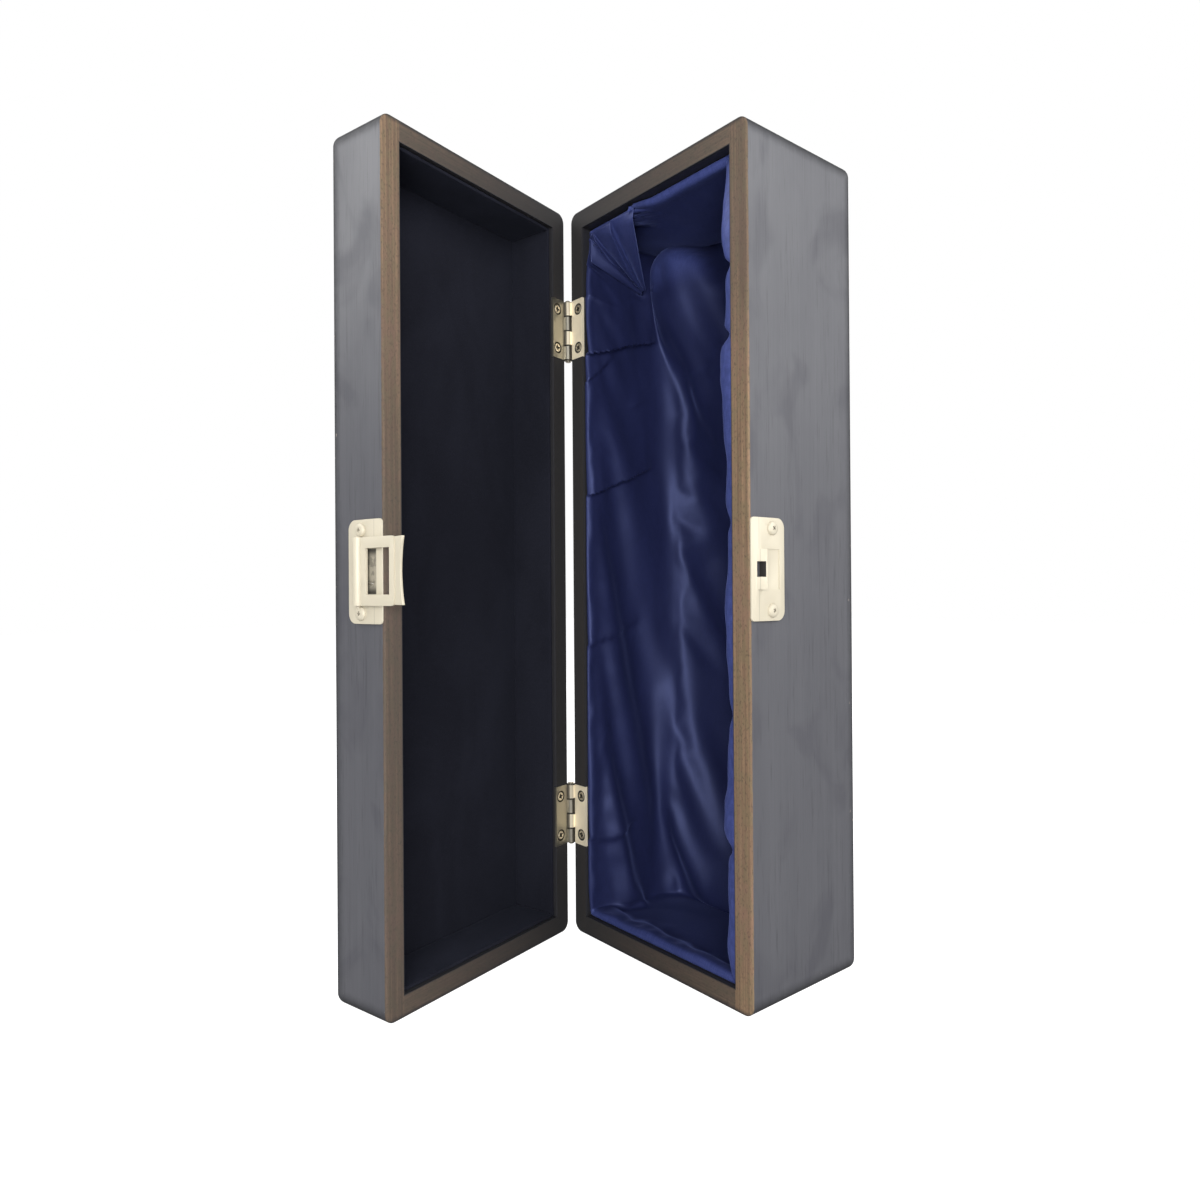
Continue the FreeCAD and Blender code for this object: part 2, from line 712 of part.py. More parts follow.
def keeper_plate():
    label = "keeper_plate"
    catch = "(size.window_reach - size.rim_gap - size.latch_play)"
    low, high = height_range("size.hook_length")
    hook = doc.addObject("Part::Wedge", label + "_hook")
    crest = f"{half_width} + size.hook_height"
    hook_sides = {
        "Ymin": "size.hook_start", "Ymax": catch, "Zmin": low, "Z2min": low, "Zmax": high, "Z2max": high,
        "Xmin": half_width, "X2min": half_width, "Xmax": f"{plate_face} - size.strip_drop", "X2max": crest,
    }
    for name, expression in hook_sides.items():
        hook.setExpression(name, expression)
    pocket_end = "size.plate_setback + size.plate_width - size.pocket_margin"
    relief_depth = (f"{plate_face} - size.pocket_depth", f"{plate_face} + size.cut_overrun")
    relief = box(label + "_pocket", relief_depth,
                 (catch, pocket_end), (low, high))
    slot = box(label + "_slot", (f"{half_width} - size.cut_overrun", f"{crest} + size.cut_overrun"),
               ("size.hook_start + size.hook_slot_margin", f"{catch} - size.hook_slot_margin"),
               height_range("size.hook_slot_length"))
    seats, screws = plate_screws(label, "tray")
    sheet_piece = without(label + "_sloped", plate_stock(label, "tray"), [rim_strip(label, "tray")])
    screw_pair("keeper_screws", screws, False)
    blank = joined(label + "_blank", [sheet_piece, hook])
    return finish(without(label, blank, seats + [relief, slot]), label)


# Velvet on card in the lid

def lid_linings():
    thick = "size.velvet_thickness"
    case = cases["lid"]
    mouth = "size.rim_gap + size.velvet_drop"
    behind = f"size.rim_gap + {case['depth']} - {thick}"
    wall_depth = f"{case['depth']} - {thick} - size.velvet_drop"
    inside = f"({inner_half} - {thick})"
    low, high = "size.board_thickness", inner_top
    linings = {
        "lid_face_lining": (behind, thick, f"-{inner_half}", inner_half, low, high),
        "lid_hinge_side_lining": (mouth, wall_depth, f"-{inner_half}", f"-{inside}", low, high),
        "lid_latch_side_lining": (mouth, wall_depth, inside, inner_half, low, high),
        "lid_top_lining": (mouth, wall_depth, f"-{inside}", inside, f"{high} - {thick}", high),
        "lid_bottom_lining": (mouth, wall_depth, f"-{inside}", inside, low, f"{low} + {thick}"),
    }
    for label, block in linings.items():
        finish(case_block(label, case, *block), label, True)


# Satin over wadding in the tray

def bow(name, length, rise, rotation, x, y, z):
    # one straight edge on the wall and one arc that swells away from it
    sketch = doc.addObject("Sketcher::SketchObject", name)
    chord = float(sketch.evalExpression(length))
    swell = float(sketch.evalExpression(rise))
    far_end = Vector(chord, 0, 0)
    sketch.addGeometry(Part.LineSegment(Vector(), far_end), False)
    sketch.addGeometry(Part.Arc(far_end, Vector(chord / 2, swell, 0), Vector()), False)
    sketch.addConstraint(Sketcher.Constraint("Coincident", 0, 1, -1, 1))
    sketch.addConstraint(Sketcher.Constraint("Horizontal", 0))
    sketch.addConstraint(Sketcher.Constraint("Coincident", 1, 1, 0, 2))
    sketch.addConstraint(Sketcher.Constraint("Coincident", 1, 2, 0, 1))
    bind(sketch, Sketcher.Constraint("Distance", 0, chord), "length", length)
    radius = (chord ** 2 / 4 + swell ** 2) / (2 * swell)
    bind(sketch, Sketcher.Constraint("Radius", 1, radius), "swell",
         f"(({length}) ^ 2 / 4 + ({rise}) ^ 2) / (2 * ({rise}))")
    return place(sketch, x, y, z, rotation)


def soft_loft(label, sections, ruled):
    loft = doc.addObject("Part::Loft", label)
    loft.Sections = sections
    loft.Solid = True
    loft.Ruled = ruled
    return finish(loft, label)


def fold_rises(folds):
    # each fold swells from a valley to a crest and back in four steps
    shares = [0.5 - 0.5 * math.cos(math.pi * step / 2) for step in range(4 * folds + 1)]
    swell = "(size.satin_crest - size.satin_valley)"
    return [f"(size.satin_valley + {share:.3f} * {swell})" for share in shares]


satin_depth = f"({tray_floor} - size.hem_drop)"
bed_reach = f"({inner_half} - size.satin_room)"


def folded_side(label, wall_x, inward):
    # each bow lies level, its straight edge along the depth of the wall
    turn = Rotation(Vector(0, -inward, 0), Vector(inward, 0, 0), Vector(0, 0, 1), "XYZ")
    start_y = tray_floor if inward > 0 else "size.hem_drop"
    rises = fold_rises(int(number("side_folds")))
    step = f"({inner_top} - size.board_thickness) / {len(rises) - 1}"
    return soft_loft(label, [
        bow(f"{label}_{index}", satin_depth, rise, turn, wall_x, start_y,
            f"size.board_thickness + {index} * {step}")
        for index, rise in enumerate(rises)
    ], True)


def folded_end(label, wall_z, inward):
    turn = Rotation(Vector(0, inward, 0), Vector(0, 0, inward), Vector(1, 0, 0), "XYZ")
    start_y = "size.hem_drop" if inward > 0 else tray_floor
    rises = fold_rises(int(number("end_folds")))
    step = f"2 * {bed_reach} / {len(rises) - 1}"
    return soft_loft(label, [
        bow(f"{label}_{index}", satin_depth, rise, turn, f"{index} * {step} - {bed_reach}", start_y, wall_z)
        for index, rise in enumerate(rises)
    ], True)


def cushion(label, low, high, rises):
    # upright bows on the back panel follow one another across the box
    length = f"({high} - ({low}))"
    turn = Rotation(Vector(0, 0, 1), Vector(0, -1, 0), Vector(1, 0, 0), "XYZ")
    step = f"2 * {bed_reach} / {len(rises) - 1}"
    return soft_loft(label, [
        bow(f"{label}_{index}", length, rise, turn, f"{index} * {step} - {bed_reach}", tray_floor, low)
        for index, rise in enumerate(rises)
    ], False)


def tray_satin():
    wadding_top = f"({inner_top} - size.satin_room)"
    neck_low = f"({wadding_top} - size.neck_rest_length)"
    folded_side("satin_hinge_side", f"-{inner_half}", 1)
    folded_side("satin_latch_side", inner_half, -1)
    folded_end("satin_top_end", inner_top, -1)
    folded_end("satin_bottom_end", "size.board_thickness", 1)
    cushion("satin_bed", "size.board_thickness + size.satin_room", f"{neck_low} - size.soft_gap",
            ["size.bed_edge", "size.bed_crown", "size.bed_crown", "size.bed_edge"])
    cushion("satin_neck_rest", neck_low, wadding_top,
            ["size.neck_rest_shoulder", "size.neck_rest_crown", "size.neck_rest_dip",
             "size.neck_rest_crown", "size.neck_rest_shoulder"])


for half_name in cases:
    hinge_side_wall(half_name)
    latch_side_wall(half_name)
    end_board(half_name, "top")
    end_board(half_name, "bottom")
outer_panel("tray", "tray_back_panel")
outer_panel("lid", "lid_face_panel")
for place_name in hinge_heights:
    hinge_leaf(place_name, "tray")
    hinge_leaf(place_name, "lid")
    hinge_pin(place_name)
latch_plate()
latch_lever()
latch_pin()
latch_spring()
keeper_plate()
lid_linings()
tray_satin()
doc.recompute()

for piece in doc.Objects:
    if "Invalid" in piece.State or "Error" in piece.State:
        raise RuntimeError(f"{piece.Label} failed: {piece.State}")
for piece in sub_parts:
    if piece.Shape.isNull() or not piece.Shape.isValid():
        raise RuntimeError(f"{piece.Label} has no valid shape")

os.makedirs("parts", exist_ok=True)
for piece in sub_parts:
    piece.Shape.exportStep(f"parts/{piece.Label}.step")
    print(f"{piece.Label}: {len(piece.Shape.Solids)} solids, {piece.Shape.Volume:.0f} cubic mm")
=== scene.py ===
import json
import math

import bpy
import numpy as np
from mathutils import Matrix, Vector, noise
from mathutils.kdtree import KDTree


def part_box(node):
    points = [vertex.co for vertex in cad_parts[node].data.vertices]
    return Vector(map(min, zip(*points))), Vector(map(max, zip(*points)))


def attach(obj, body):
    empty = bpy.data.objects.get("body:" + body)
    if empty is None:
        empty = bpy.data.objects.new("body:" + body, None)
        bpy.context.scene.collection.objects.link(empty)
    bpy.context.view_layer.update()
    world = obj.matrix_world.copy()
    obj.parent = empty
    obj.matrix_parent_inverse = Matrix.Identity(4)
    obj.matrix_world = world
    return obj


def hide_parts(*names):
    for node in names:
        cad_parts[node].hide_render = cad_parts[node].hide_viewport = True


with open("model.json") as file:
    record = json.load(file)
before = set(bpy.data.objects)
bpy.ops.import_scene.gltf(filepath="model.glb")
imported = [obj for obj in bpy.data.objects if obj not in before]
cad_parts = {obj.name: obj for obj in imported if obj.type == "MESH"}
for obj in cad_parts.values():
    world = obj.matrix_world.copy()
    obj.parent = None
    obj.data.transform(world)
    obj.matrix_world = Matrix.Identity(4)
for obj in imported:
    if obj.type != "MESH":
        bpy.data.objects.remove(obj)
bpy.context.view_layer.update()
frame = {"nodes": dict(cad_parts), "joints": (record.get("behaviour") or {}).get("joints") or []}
nodes = frame["nodes"]
print("frame loaded:", len(nodes), "solids")

hingeLine = Vector(frame["joints"][0]["pos_m"])
lidAngle = math.radians(75)
shutLid = Matrix.Translation(hingeLine) @ Matrix.Rotation(lidAngle, 4, "Z")
shutLid = shutLid @ Matrix.Translation(-hingeLine)


def shutBounds(name):
    # a lid piece's box when the lid is shut
    points = np.array([shutLid @ v.co for v in nodes[name].data.vertices])
    return points.min(0), points.max(0)


# where the inside and the outside of the case are, read from the solids
inside = {
    "half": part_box("tray_latch_side_wall")[0].x,
    "rim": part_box("tray_bottom_end")[0].y,
    "back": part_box("tray_back_panel")[0].y,
    "low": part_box("tray_bottom_end")[1].z,
    "high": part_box("tray_top_end")[0].z,
}
caseBox = {
    "half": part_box("tray_latch_side_wall")[1].x,
    "low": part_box("tray_bottom_end")[0].z,
    "high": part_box("tray_top_end")[1].z,
    "back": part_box("tray_back_panel")[1].y,
    "face": float(shutBounds("lid_face_panel")[0][1]),
    "lidRim": hingeLine.y * 2 - inside["rim"],  # when the lid is shut
}


def leaveEdit():
    bpy.ops.object.mode_set(mode="OBJECT")


def deselectAll():
    if bpy.context.object and bpy.context.object.mode != "OBJECT":
        leaveEdit()
    bpy.ops.object.select_all(action="DESELECT")


def pick(obj):
    deselectAll()
    obj.select_set(True)
    bpy.context.view_layer.objects.active = obj


def editAll(obj):
    pick(obj)
    bpy.ops.object.mode_set(mode="EDIT")
    bpy.ops.mesh.select_all(action="SELECT")


def applyModifier(obj, kind, **settings):
    pick(obj)
    modifier = obj.modifiers.new(kind.lower(), kind)
    for key, value in settings.items():
        setattr(modifier, key, value)
    bpy.ops.object.modifier_apply(modifier=modifier.name)


def applyPlace():
    bpy.ops.object.transform_apply(location=True, rotation=True, scale=True)
    return bpy.context.object


def joinPieces(pieces):
    pick(pieces[0])
    for piece in pieces:
        piece.select_set(True)
    bpy.ops.object.join()
    return pieces[0]


def smoothByAngle(obj, degrees):
    pick(obj)
    bpy.ops.object.shade_smooth_by_angle(angle=math.radians(degrees))


def paint(obj, material):
    obj.data.materials.clear()
    obj.data.materials.append(material)


def dress(piece, body, slot, *replaced):
    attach(piece, body)
    if replaced:
        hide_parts(*replaced)


def pieceName(node):
    return node.replace("_", " ").title().replace(" ", "")


def readPoints(obj, kind="co"):
    points = np.zeros(len(obj.data.vertices) * 3)
    obj.data.vertices.foreach_get(kind, points)
    return points.reshape(-1, 3)


def writePoints(obj, points):
    obj.data.vertices.foreach_set("co", points.astype(np.float32).ravel())
    obj.data.update()


def storeValues(obj, name, values):
    kind, field = ("FLOAT_VECTOR", "vector") if values.ndim == 2 else ("FLOAT", "value")
    attribute = obj.data.attributes.new(name, kind, "POINT")
    attribute.data.foreach_set(field, values.astype(np.float32).ravel())


def noiseAt(places):
    return np.array([noise.noise(Vector(place)) for place in places])


def smoothStep(low, high, value):
    share = np.clip((value - low) / (high - low), 0, 1)
    return share * share * (3 - 2 * share)


# finishes

def setSockets(node, values):
    for key, value in values.items():
        node.inputs[key].default_value = value


def addNode(tree, kind, inputs=None, **settings):
    node = tree.nodes.new(kind)
    for key, value in settings.items():
        setattr(node, key, value)
    setSockets(node, inputs or {})
    return node


def join(tree, source, target):
    tree.links.new(source, target)


def feed(tree, socket, value):
    # a plain value is set on the socket, anything else is linked to it
    if isinstance(value, tuple):
        socket.default_value = (*value, 1.0)
    elif isinstance(value, (int, float)):
        socket.default_value = value
    else:
        join(tree, value, socket)


def newGroup(name, outputs):
    group = bpy.data.node_groups.new(name, "ShaderNodeTree")
    group.interface.new_socket("Vector", in_out="INPUT", socket_type="NodeSocketVector")
    for label in outputs:
        group.interface.new_socket(label, in_out="OUTPUT", socket_type="NodeSocketFloat")
    start, end = addNode(group, "NodeGroupInput"), addNode(group, "NodeGroupOutput")
    return group, start.outputs["Vector"], end.inputs


def stretchedNoise(tree, vector, stretch, detail, roughness=0.5, distortion=0.0):
    scaled = addNode(tree, "ShaderNodeMapping", {"Scale": stretch})
    join(tree, vector, scaled.inputs["Vector"])
    grain = addNode(tree, "ShaderNodeTexNoise", {
        "Scale": 1.0, "Detail": detail, "Roughness": roughness, "Distortion": distortion})
    join(tree, scaled.outputs["Vector"], grain.inputs["Vector"])
    return grain.outputs["Fac"]


def ramp(tree, value, low, high):
    part = addNode(tree, "ShaderNodeMapRange", {"From Min": low, "From Max": high},
                   interpolation_type="SMOOTHSTEP")
    join(tree, value, part.inputs["Value"])
    return part.outputs["Result"]


def between(tree, value, low, high, soft):
    return times(tree, ramp(tree, value, low, low + soft), ramp(tree, value, high, high - soft))


def arithmetic(tree, operation, first, second=0.0):
    part = addNode(tree, "ShaderNodeMath", operation=operation)
    feed(tree, part.inputs[0], first)
    feed(tree, part.inputs[1], second)
    return part.outputs["Value"]


def times(tree, first, second):
    return arithmetic(tree, "MULTIPLY", first, second)


def plus(tree, first, second):
    return arithmetic(tree, "ADD", first, second)


def minus(tree, first, second):
    return arithmetic(tree, "SUBTRACT", first, second)


def larger(tree, first, second):
    return arithmetic(tree, "MAXIMUM", first, second)


def smaller(tree, first, second):
    return arithmetic(tree, "MINIMUM", first, second)


def distanceFrom(tree, value, place):
    return arithmetic(tree, "ABSOLUTE", minus(tree, value, place))


def length(tree, first, second):
    return arithmetic(tree, "SQRT", plus(tree, times(tree, first, first), times(tree, second, second)))


def addShares(tree, value, masks, shares):
    for mask, share in zip(masks, shares):
        value = plus(tree, value, times(tree, mask, share))
    return value


def mixColour(tree, share, first, second):
    part = addNode(tree, "ShaderNodeMix", data_type="RGBA")
    for slot, value in ((0, share), (6, first), (7, second)):
        feed(tree, part.inputs[slot], value)
    return part.outputs[2]


def mixValue(tree, share, first, second):
    part = addNode(tree, "ShaderNodeMix", data_type="FLOAT")
    for slot, value in ((0, share), (2, first), (3, second)):
        feed(tree, part.inputs[slot], value)
    return part.outputs[0]


def cover(tree, colour, mask, over, most):
    # another colour lies over this one where the mask is
    return mixColour(tree, times(tree, mask, most), colour, over)


def splitAxes(tree, vector):
    split = addNode(tree, "ShaderNodeSeparateXYZ")
    join(tree, vector, split.inputs["Vector"])
    return split.outputs["X"], split.outputs["Y"], split.outputs["Z"]


def objectPlace(tree, onLid=False):
    # the lid's pieces are worked as if the lid were shut
    place = addNode(tree, "ShaderNodeTexCoord").outputs["Object"]
    if not onLid:
        return place
    shut = addNode(tree, "ShaderNodeMapping", {
        "Location": shutLid.to_translation(), "Rotation": (0, 0, lidAngle)})
    join(tree, place, shut.inputs["Vector"])
    return shut.outputs["Vector"]


def placeGroup(tree, group, vector):
    part = addNode(tree, "ShaderNodeGroup", node_tree=group)
    join(tree, vector, part.inputs["Vector"])
    return part.outputs


def newMaterial(name):
    material = bpy.data.materials.new(name)
    material.use_nodes = True
    return material, material.node_tree, material.node_tree.nodes["Principled BSDF"]


def addBump(tree, shader, height, strength, distance):
    bump = addNode(tree, "ShaderNodeBump", {"Strength": strength, "Distance": distance})
    join(tree, height, bump.inputs["Height"])
    join(tree, bump.outputs["Normal"], shader.inputs["Normal"])


# each noise has its stretch per metre, then its detail, roughness and distortion
woodGrain = {
    "broad": ((130, 130, 3), 4, 0.5, 0.25),
    "fine": ((1100, 1100, 12), 3, 0.55),
    "fineShare": 0.55,
    "streak": (0.36, 0.66),
    "pores": ((1500, 1500, 65), 2),
    "rows": ((420, 420, 2), 2),
    "rowShare": 0.35,
    "pore": (0.755, 0.88),
    "clouds": ((22, 22, 13), 4, 0.55, 0.6),
    "cloud": (0.35, 0.68),
}
fingerMarks = {
    "patches": ((38, 38, 27), 3, 0.45, 0.7),
    "smudge": (0.50, 0.70),
    "specks": ((420, 420, 420), 2),
    "speck": (0.70, 0.78),
}


def makeGrainGroup():
    # grain runs along Z of the vector that comes in
    group, vector, end = newGroup("woodGrain", ("Streak", "Pore", "Cloud"))
    broad, fine, pores, rows, clouds = (stretchedNoise(group, vector, *woodGrain[key])
                                        for key in ("broad", "fine", "pores", "rows", "clouds"))
    streak = mixValue(group, woodGrain["fineShare"], broad, fine)
    pore = plus(group, pores, times(group, rows, woodGrain["rowShare"]))
    join(group, ramp(group, streak, *woodGrain["streak"]), end["Streak"])
    join(group, ramp(group, pore, *woodGrain["pore"]), end["Pore"])
    join(group, ramp(group, clouds, *woodGrain["cloud"]), end["Cloud"])
    return group


def makeSmudgeGroup():
    group, vector, end = newGroup("fingerSmudges", ("Smudge", "Speck"))
    patches = stretchedNoise(group, vector, *fingerMarks["patches"])
    specks = stretchedNoise(group, vector, *fingerMarks["specks"])
    join(group, ramp(group, patches, *fingerMarks["smudge"]), end["Smudge"])
    join(group, ramp(group, specks, *fingerMarks["speck"]), end["Speck"])
    return group


grainGroup = makeGrainGroup()
smudgeGroup = makeSmudgeGroup()

# a colour that lies over another comes with how much of it shows
boardFinish = {
    "stain": ((0.071, 0.071, 0.081), (0.080, 0.080, 0.090)),
    "stainPore": ((0.032, 0.032, 0.038), 0.34),
    "smudge": ((0.040, 0.039, 0.050), 0.40),
    "edgeStainAndShade": ((0.010, 0.010, 0.012), 0.95),
    "chip": (0.42, 0.36, 0.30),
    "insideWood": (0.015, 0.0145, 0.017),
    "rim": ((0.135, 0.084, 0.050), (0.300, 0.192, 0.108)),
    "rimRed": ((0.225, 0.130, 0.090), 0.5),
    "rimOlive": ((0.150, 0.118, 0.062), 0.5),
    "rimPore": ((0.045, 0.031, 0.022), 0.5),
    "rimEnds": ((0.010, 0.010, 0.012), 0.85),
    "rimHingeShade": (0.015, 0.0138, 0.0145),
    "hingeShadeFade": 1.4,
    "rimShadeColour": (0.030, 0.0265, 0.026),
    "railShade": 0.62,  # painted shade on the end boards' rims
    # and at one end of the long ones, on the tray and on the lid; the lid's rim is a little darker all over
    "stileShade": {False: (0.235, 0.305, 0.45), True: (0.340, 0.160, 0.62)},
    "lidShade": 0.20,
    "waver": ((300, 300, 300), 2),  # how the borders of the stain wander
    "rimWaver": -0.0006,
    "edgeWaver": 0.0012,
    "endWaver": 0.0010,
    "rimEdge": (0.0008, 0.00032),  # how far the bare rim reaches down the rounded edge
    "edgeWidth": (0.0085, 0.001275),  # where the rounded edges are darkened: thick stain and painted shade
    "wrap": (0.0030, 0.0009),  # how far the stain runs over the ends onto the rim
    "mottle": ((520, 520, 190), 2),
    "mottleRange": (0.42, 0.62),
    "dots": ((1500, 1500, 700), 2, 0.6),
    "dotRange": (0.50, 0.72),
    "board": caseBox["half"] - inside["half"],
    "boardEdge": 0.0006,
    "boardDeep": (0.002, 0.004),
    "stainRoughness": 0.46,
    "roughen": (0.10, 0.08, 0.30),  # by clouds, finger marks and the darkened rounded edges
    "rimRoughness": 0.82,
    "streakHeight": 0.25,
    "bump": (0.08, 0.0003),
}


def caseDistances(tree, x, y, z, onLid):
    # how far a point lies from the long sides, the back or face, and the ends of the case
    across = minus(tree, caseBox["half"], arithmetic(tree, "ABSOLUTE", x))
    through = minus(tree, y, caseBox["face"]) if onLid else minus(tree, caseBox["back"], y)
    upright = smaller(tree, minus(tree, z, caseBox["low"]), minus(tree, caseBox["high"], z))
    return across, through, upright


def edgeDistance(tree, across, through, upright):
    # on the outside of the case the middle of the three distances is that to the nearest edge
    furthest = larger(tree, across, through)
    return larger(tree, smaller(tree, across, through), smaller(tree, furthest, upright))


def boardMaterial(name, onLid, crossGrain):
    material, tree, shader = newMaterial(name)
    finish = boardFinish
    coordinates = objectPlace(tree, onLid)
    x, y, z = splitAxes(tree, coordinates)
    along = coordinates
    if crossGrain:
        turned = addNode(tree, "ShaderNodeMapping", {"Rotation": (0, math.radians(-90), 0)})
        join(tree, coordinates, turned.inputs["Vector"])
        along = turned.outputs["Vector"]
    grain = placeGroup(tree, grainGroup, along)
    smudges = placeGroup(tree, smudgeGroup, coordinates)
    waver = stretchedNoise(tree, coordinates, *finish["waver"])
    depth = minus(tree, caseBox["lidRim"], y) if onLid else minus(tree, y, inside["rim"])
    rim = ramp(tree, plus(tree, depth, times(tree, waver, finish["rimWaver"])), *finish["rimEdge"])
    across, through, upright = caseDistances(tree, x, y, z, onLid)
    # black stain over the outside, with pores, finger marks and a few chips, darkened on the rounded edges by
    # thick stain and painted shade
    stain = mixColour(tree, grain["Streak"], *finish["stain"])
    stain = cover(tree, stain, grain["Pore"], *finish["stainPore"])
    stain = cover(tree, stain, smudges["Smudge"], *finish["smudge"])
    rounded = edgeDistance(tree, across, through, upright)
    rounded = plus(tree, rounded, times(tree, waver, finish["edgeWaver"]))
    edgeBand = ramp(tree, rounded, *finish["edgeWidth"])
    stain = cover(tree, stain, edgeBand, *finish["edgeStainAndShade"])
    stain = cover(tree, stain, edgeBand, finish["chip"], smudges["Speck"])
    # the bare rim is speckled and mottled, with painted shade towards the hinges, on the end boards and at
    # one end of the long ones, and darkens where the stain runs over the ends
    bare = mixColour(tree, grain["Streak"], *finish["rim"])
    bare = cover(tree, bare, grain["Cloud"], *finish["rimRed"])
    mottle = ramp(tree, stretchedNoise(tree, along, *finish["mottle"]), *finish["mottleRange"])
    bare = cover(tree, bare, mottle, *finish["rimOlive"])
    dots = ramp(tree, stretchedNoise(tree, along, *finish["dots"]), *finish["dotRange"])
    bare = cover(tree, bare, dots, *finish["rimPore"])
    # painted shade on the end boards' rims and at one end of the long ones
    shade = finish["railShade"]
    if not crossGrain:
        start, stop, most = finish["stileShade"][onLid]
        shade = times(tree, ramp(tree, z, start, stop), most)
    bare = mixColour(tree, shade, bare, finish["rimShadeColour"])
    if onLid:
        bare = mixColour(tree, finish["lidShade"], bare, finish["rimShadeColour"])
    # painted shade: the bare rim darkens towards the hinges
    share = arithmetic(tree, "DIVIDE", plus(tree, x, caseBox["half"]), 2 * caseBox["half"])
    share = arithmetic(tree, "POWER", larger(tree, share, 0.0), finish["hingeShadeFade"])
    bare = mixColour(tree, share, finish["rimHingeShade"], bare)
    ends = ramp(tree, plus(tree, upright, times(tree, waver, finish["endWaver"])), *finish["wrap"])
    bare = cover(tree, bare, ends, *finish["rimEnds"])
    colour = mixColour(tree, rim, stain, bare)
    board = finish["board"]
    within = ramp(tree, smaller(tree, across, upright), board - finish["boardEdge"], board)
    within = times(tree, within, ramp(tree, through, *finish["boardDeep"]))
    join(tree, mixColour(tree, within, colour, finish["insideWood"]), shader.inputs["Base Color"])
    roughness = addShares(tree, finish["stainRoughness"], (grain["Cloud"], smudges["Smudge"], edgeBand),
                          finish["roughen"])
    join(tree, mixValue(tree, rim, roughness, finish["rimRoughness"]), shader.inputs["Roughness"])
    height = minus(tree, times(tree, grain["Streak"], finish["streakHeight"]), grain["Pore"])
    addBump(tree, shader, height, *finish["bump"])
    return material


metalWear = {
    "tarnish": 0.35,
    "brushDetail": 2,
    "dirtAndShade": (0.020, 0.018, 0.016),
    "roughen": (0.12, 0.08, 0.3),  # by brush lines, finger marks and the dark joints and painted shade
    "bumpDepth": 0.0001,
}
nickel = {"light": (0.83, 0.75, 0.60), "dark": (0.46, 0.41, 0.33), "roughness": 0.24, "metallic": 0.92,
          "brushed": (150, 150, 2600), "bump": 0.05}
champagne = {"light": (0.545, 0.495, 0.385), "dark": (0.46, 0.41, 0.315), "roughness": 0.42, "metallic": 0.12,
             "brushed": (2600, 2600, 150), "bump": 0.04}
springWire = {"light": (0.50, 0.48, 0.45), "dark": (0.30, 0.28, 0.26), "roughness": 0.30, "metallic": 1.0,
              "brushed": (900, 900, 900), "bump": 0.05}


def metalMaterial(name, finish):
    material, tree, shader = newMaterial(name)
    coordinates = objectPlace(tree)
    smudges = placeGroup(tree, smudgeGroup, coordinates)
    lines = stretchedNoise(tree, coordinates, finish["brushed"], metalWear["brushDetail"])
    colour = cover(tree, finish["light"], smudges["Smudge"], finish["dark"], metalWear["tarnish"])
    masks = [lines, smudges["Smudge"]]
    dirtAndShade = None
    if "plate" in finish:
        dirtAndShade = plateShade(tree, finish["plate"])
    elif "onLid" in finish:
        dirtAndShade = hingeJointsAndShade(tree, finish["onLid"])
    elif "recessShade" in finish:
        dirtAndShade = addNode(tree, "ShaderNodeAttribute", attribute_name="recessShade").outputs["Fac"]
    if dirtAndShade:
        # dark joints and painted shade laid over the metal colour
        colour = mixColour(tree, dirtAndShade, colour, metalWear["dirtAndShade"])
        masks.append(dirtAndShade)
    join(tree, colour, shader.inputs["Base Color"])
    roughness = addShares(tree, finish["roughness"], masks, metalWear["roughen"])
    join(tree, roughness, shader.inputs["Roughness"])
    shader.inputs["Metallic"].default_value = finish["metallic"]
    addBump(tree, shader, lines, finish["bump"], metalWear["bumpDepth"])
    return material


plateStep = 0.004  # how far the step lies from a plate's edge
plateFinish = {
    "height": (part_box("keeper_plate")[0].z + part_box("keeper_plate")[1].z) / 2,
    "step": {"keeper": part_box("keeper_plate")[0].y + plateStep,
             "latch": float(shutBounds("latch_plate")[1][1]) - plateStep},
    "line": 0.00022,
    "lineShade": 0.30,
    "slot": {"low": -0.0323, "high": -0.0293, "half": 0.00305, "soft": 0.0001},
    # its painted shade: the least, and how much more at the ends
    "window": {"low": -0.0470, "past": 0.0014, "half": 0.0092, "soft": 0.0006, "ends": (0.0050, 0.0082),
               "dirtAndShade": (0.45, 0.5)},
    "spots": ((500, 500, 420), 2),
    "spotRange": (0.45, 0.60),
    "spotShade": 0.45,
}


def plateShade(tree, which):
    # painted shade: a shadow line along the step of each plate, darkness in the hook's slot and in the
    # lever's window, with darker spots
    finish = plateFinish
    y, z = splitAxes(tree, objectPlace(tree, which == "latch"))[1:]
    step, line = finish["step"][which], finish["line"]
    dirtAndShade = times(tree, between(tree, y, step - line, step + line, line), finish["lineShade"])
    away = distanceFrom(tree, z, finish["height"])
    if which == "keeper":
        slot = finish["slot"]
        # painted shade in the hook's slot
        hole = between(tree, y, slot["low"], slot["high"], slot["soft"])
        hole = times(tree, hole, ramp(tree, away, slot["half"] + slot["soft"] / 2, slot["half"]))
        return larger(tree, dirtAndShade, hole)
    window = finish["window"]
    least, more = window["dirtAndShade"]
    # painted shade in the lever's window, darkest at its ends
    hole = between(tree, y, window["low"], step + window["past"], window["soft"])
    spots = ramp(tree, stretchedNoise(tree, objectPlace(tree), *finish["spots"]), *finish["spotRange"])
    ends = larger(tree, ramp(tree, away, *window["ends"]), times(tree, spots, finish["spotShade"]))
    hole = times(tree, hole, plus(tree, least, times(tree, ends, more)))
    hole = times(tree, hole, ramp(tree, away, window["half"], window["half"] - window["soft"]))
    return larger(tree, dirtAndShade, hole)


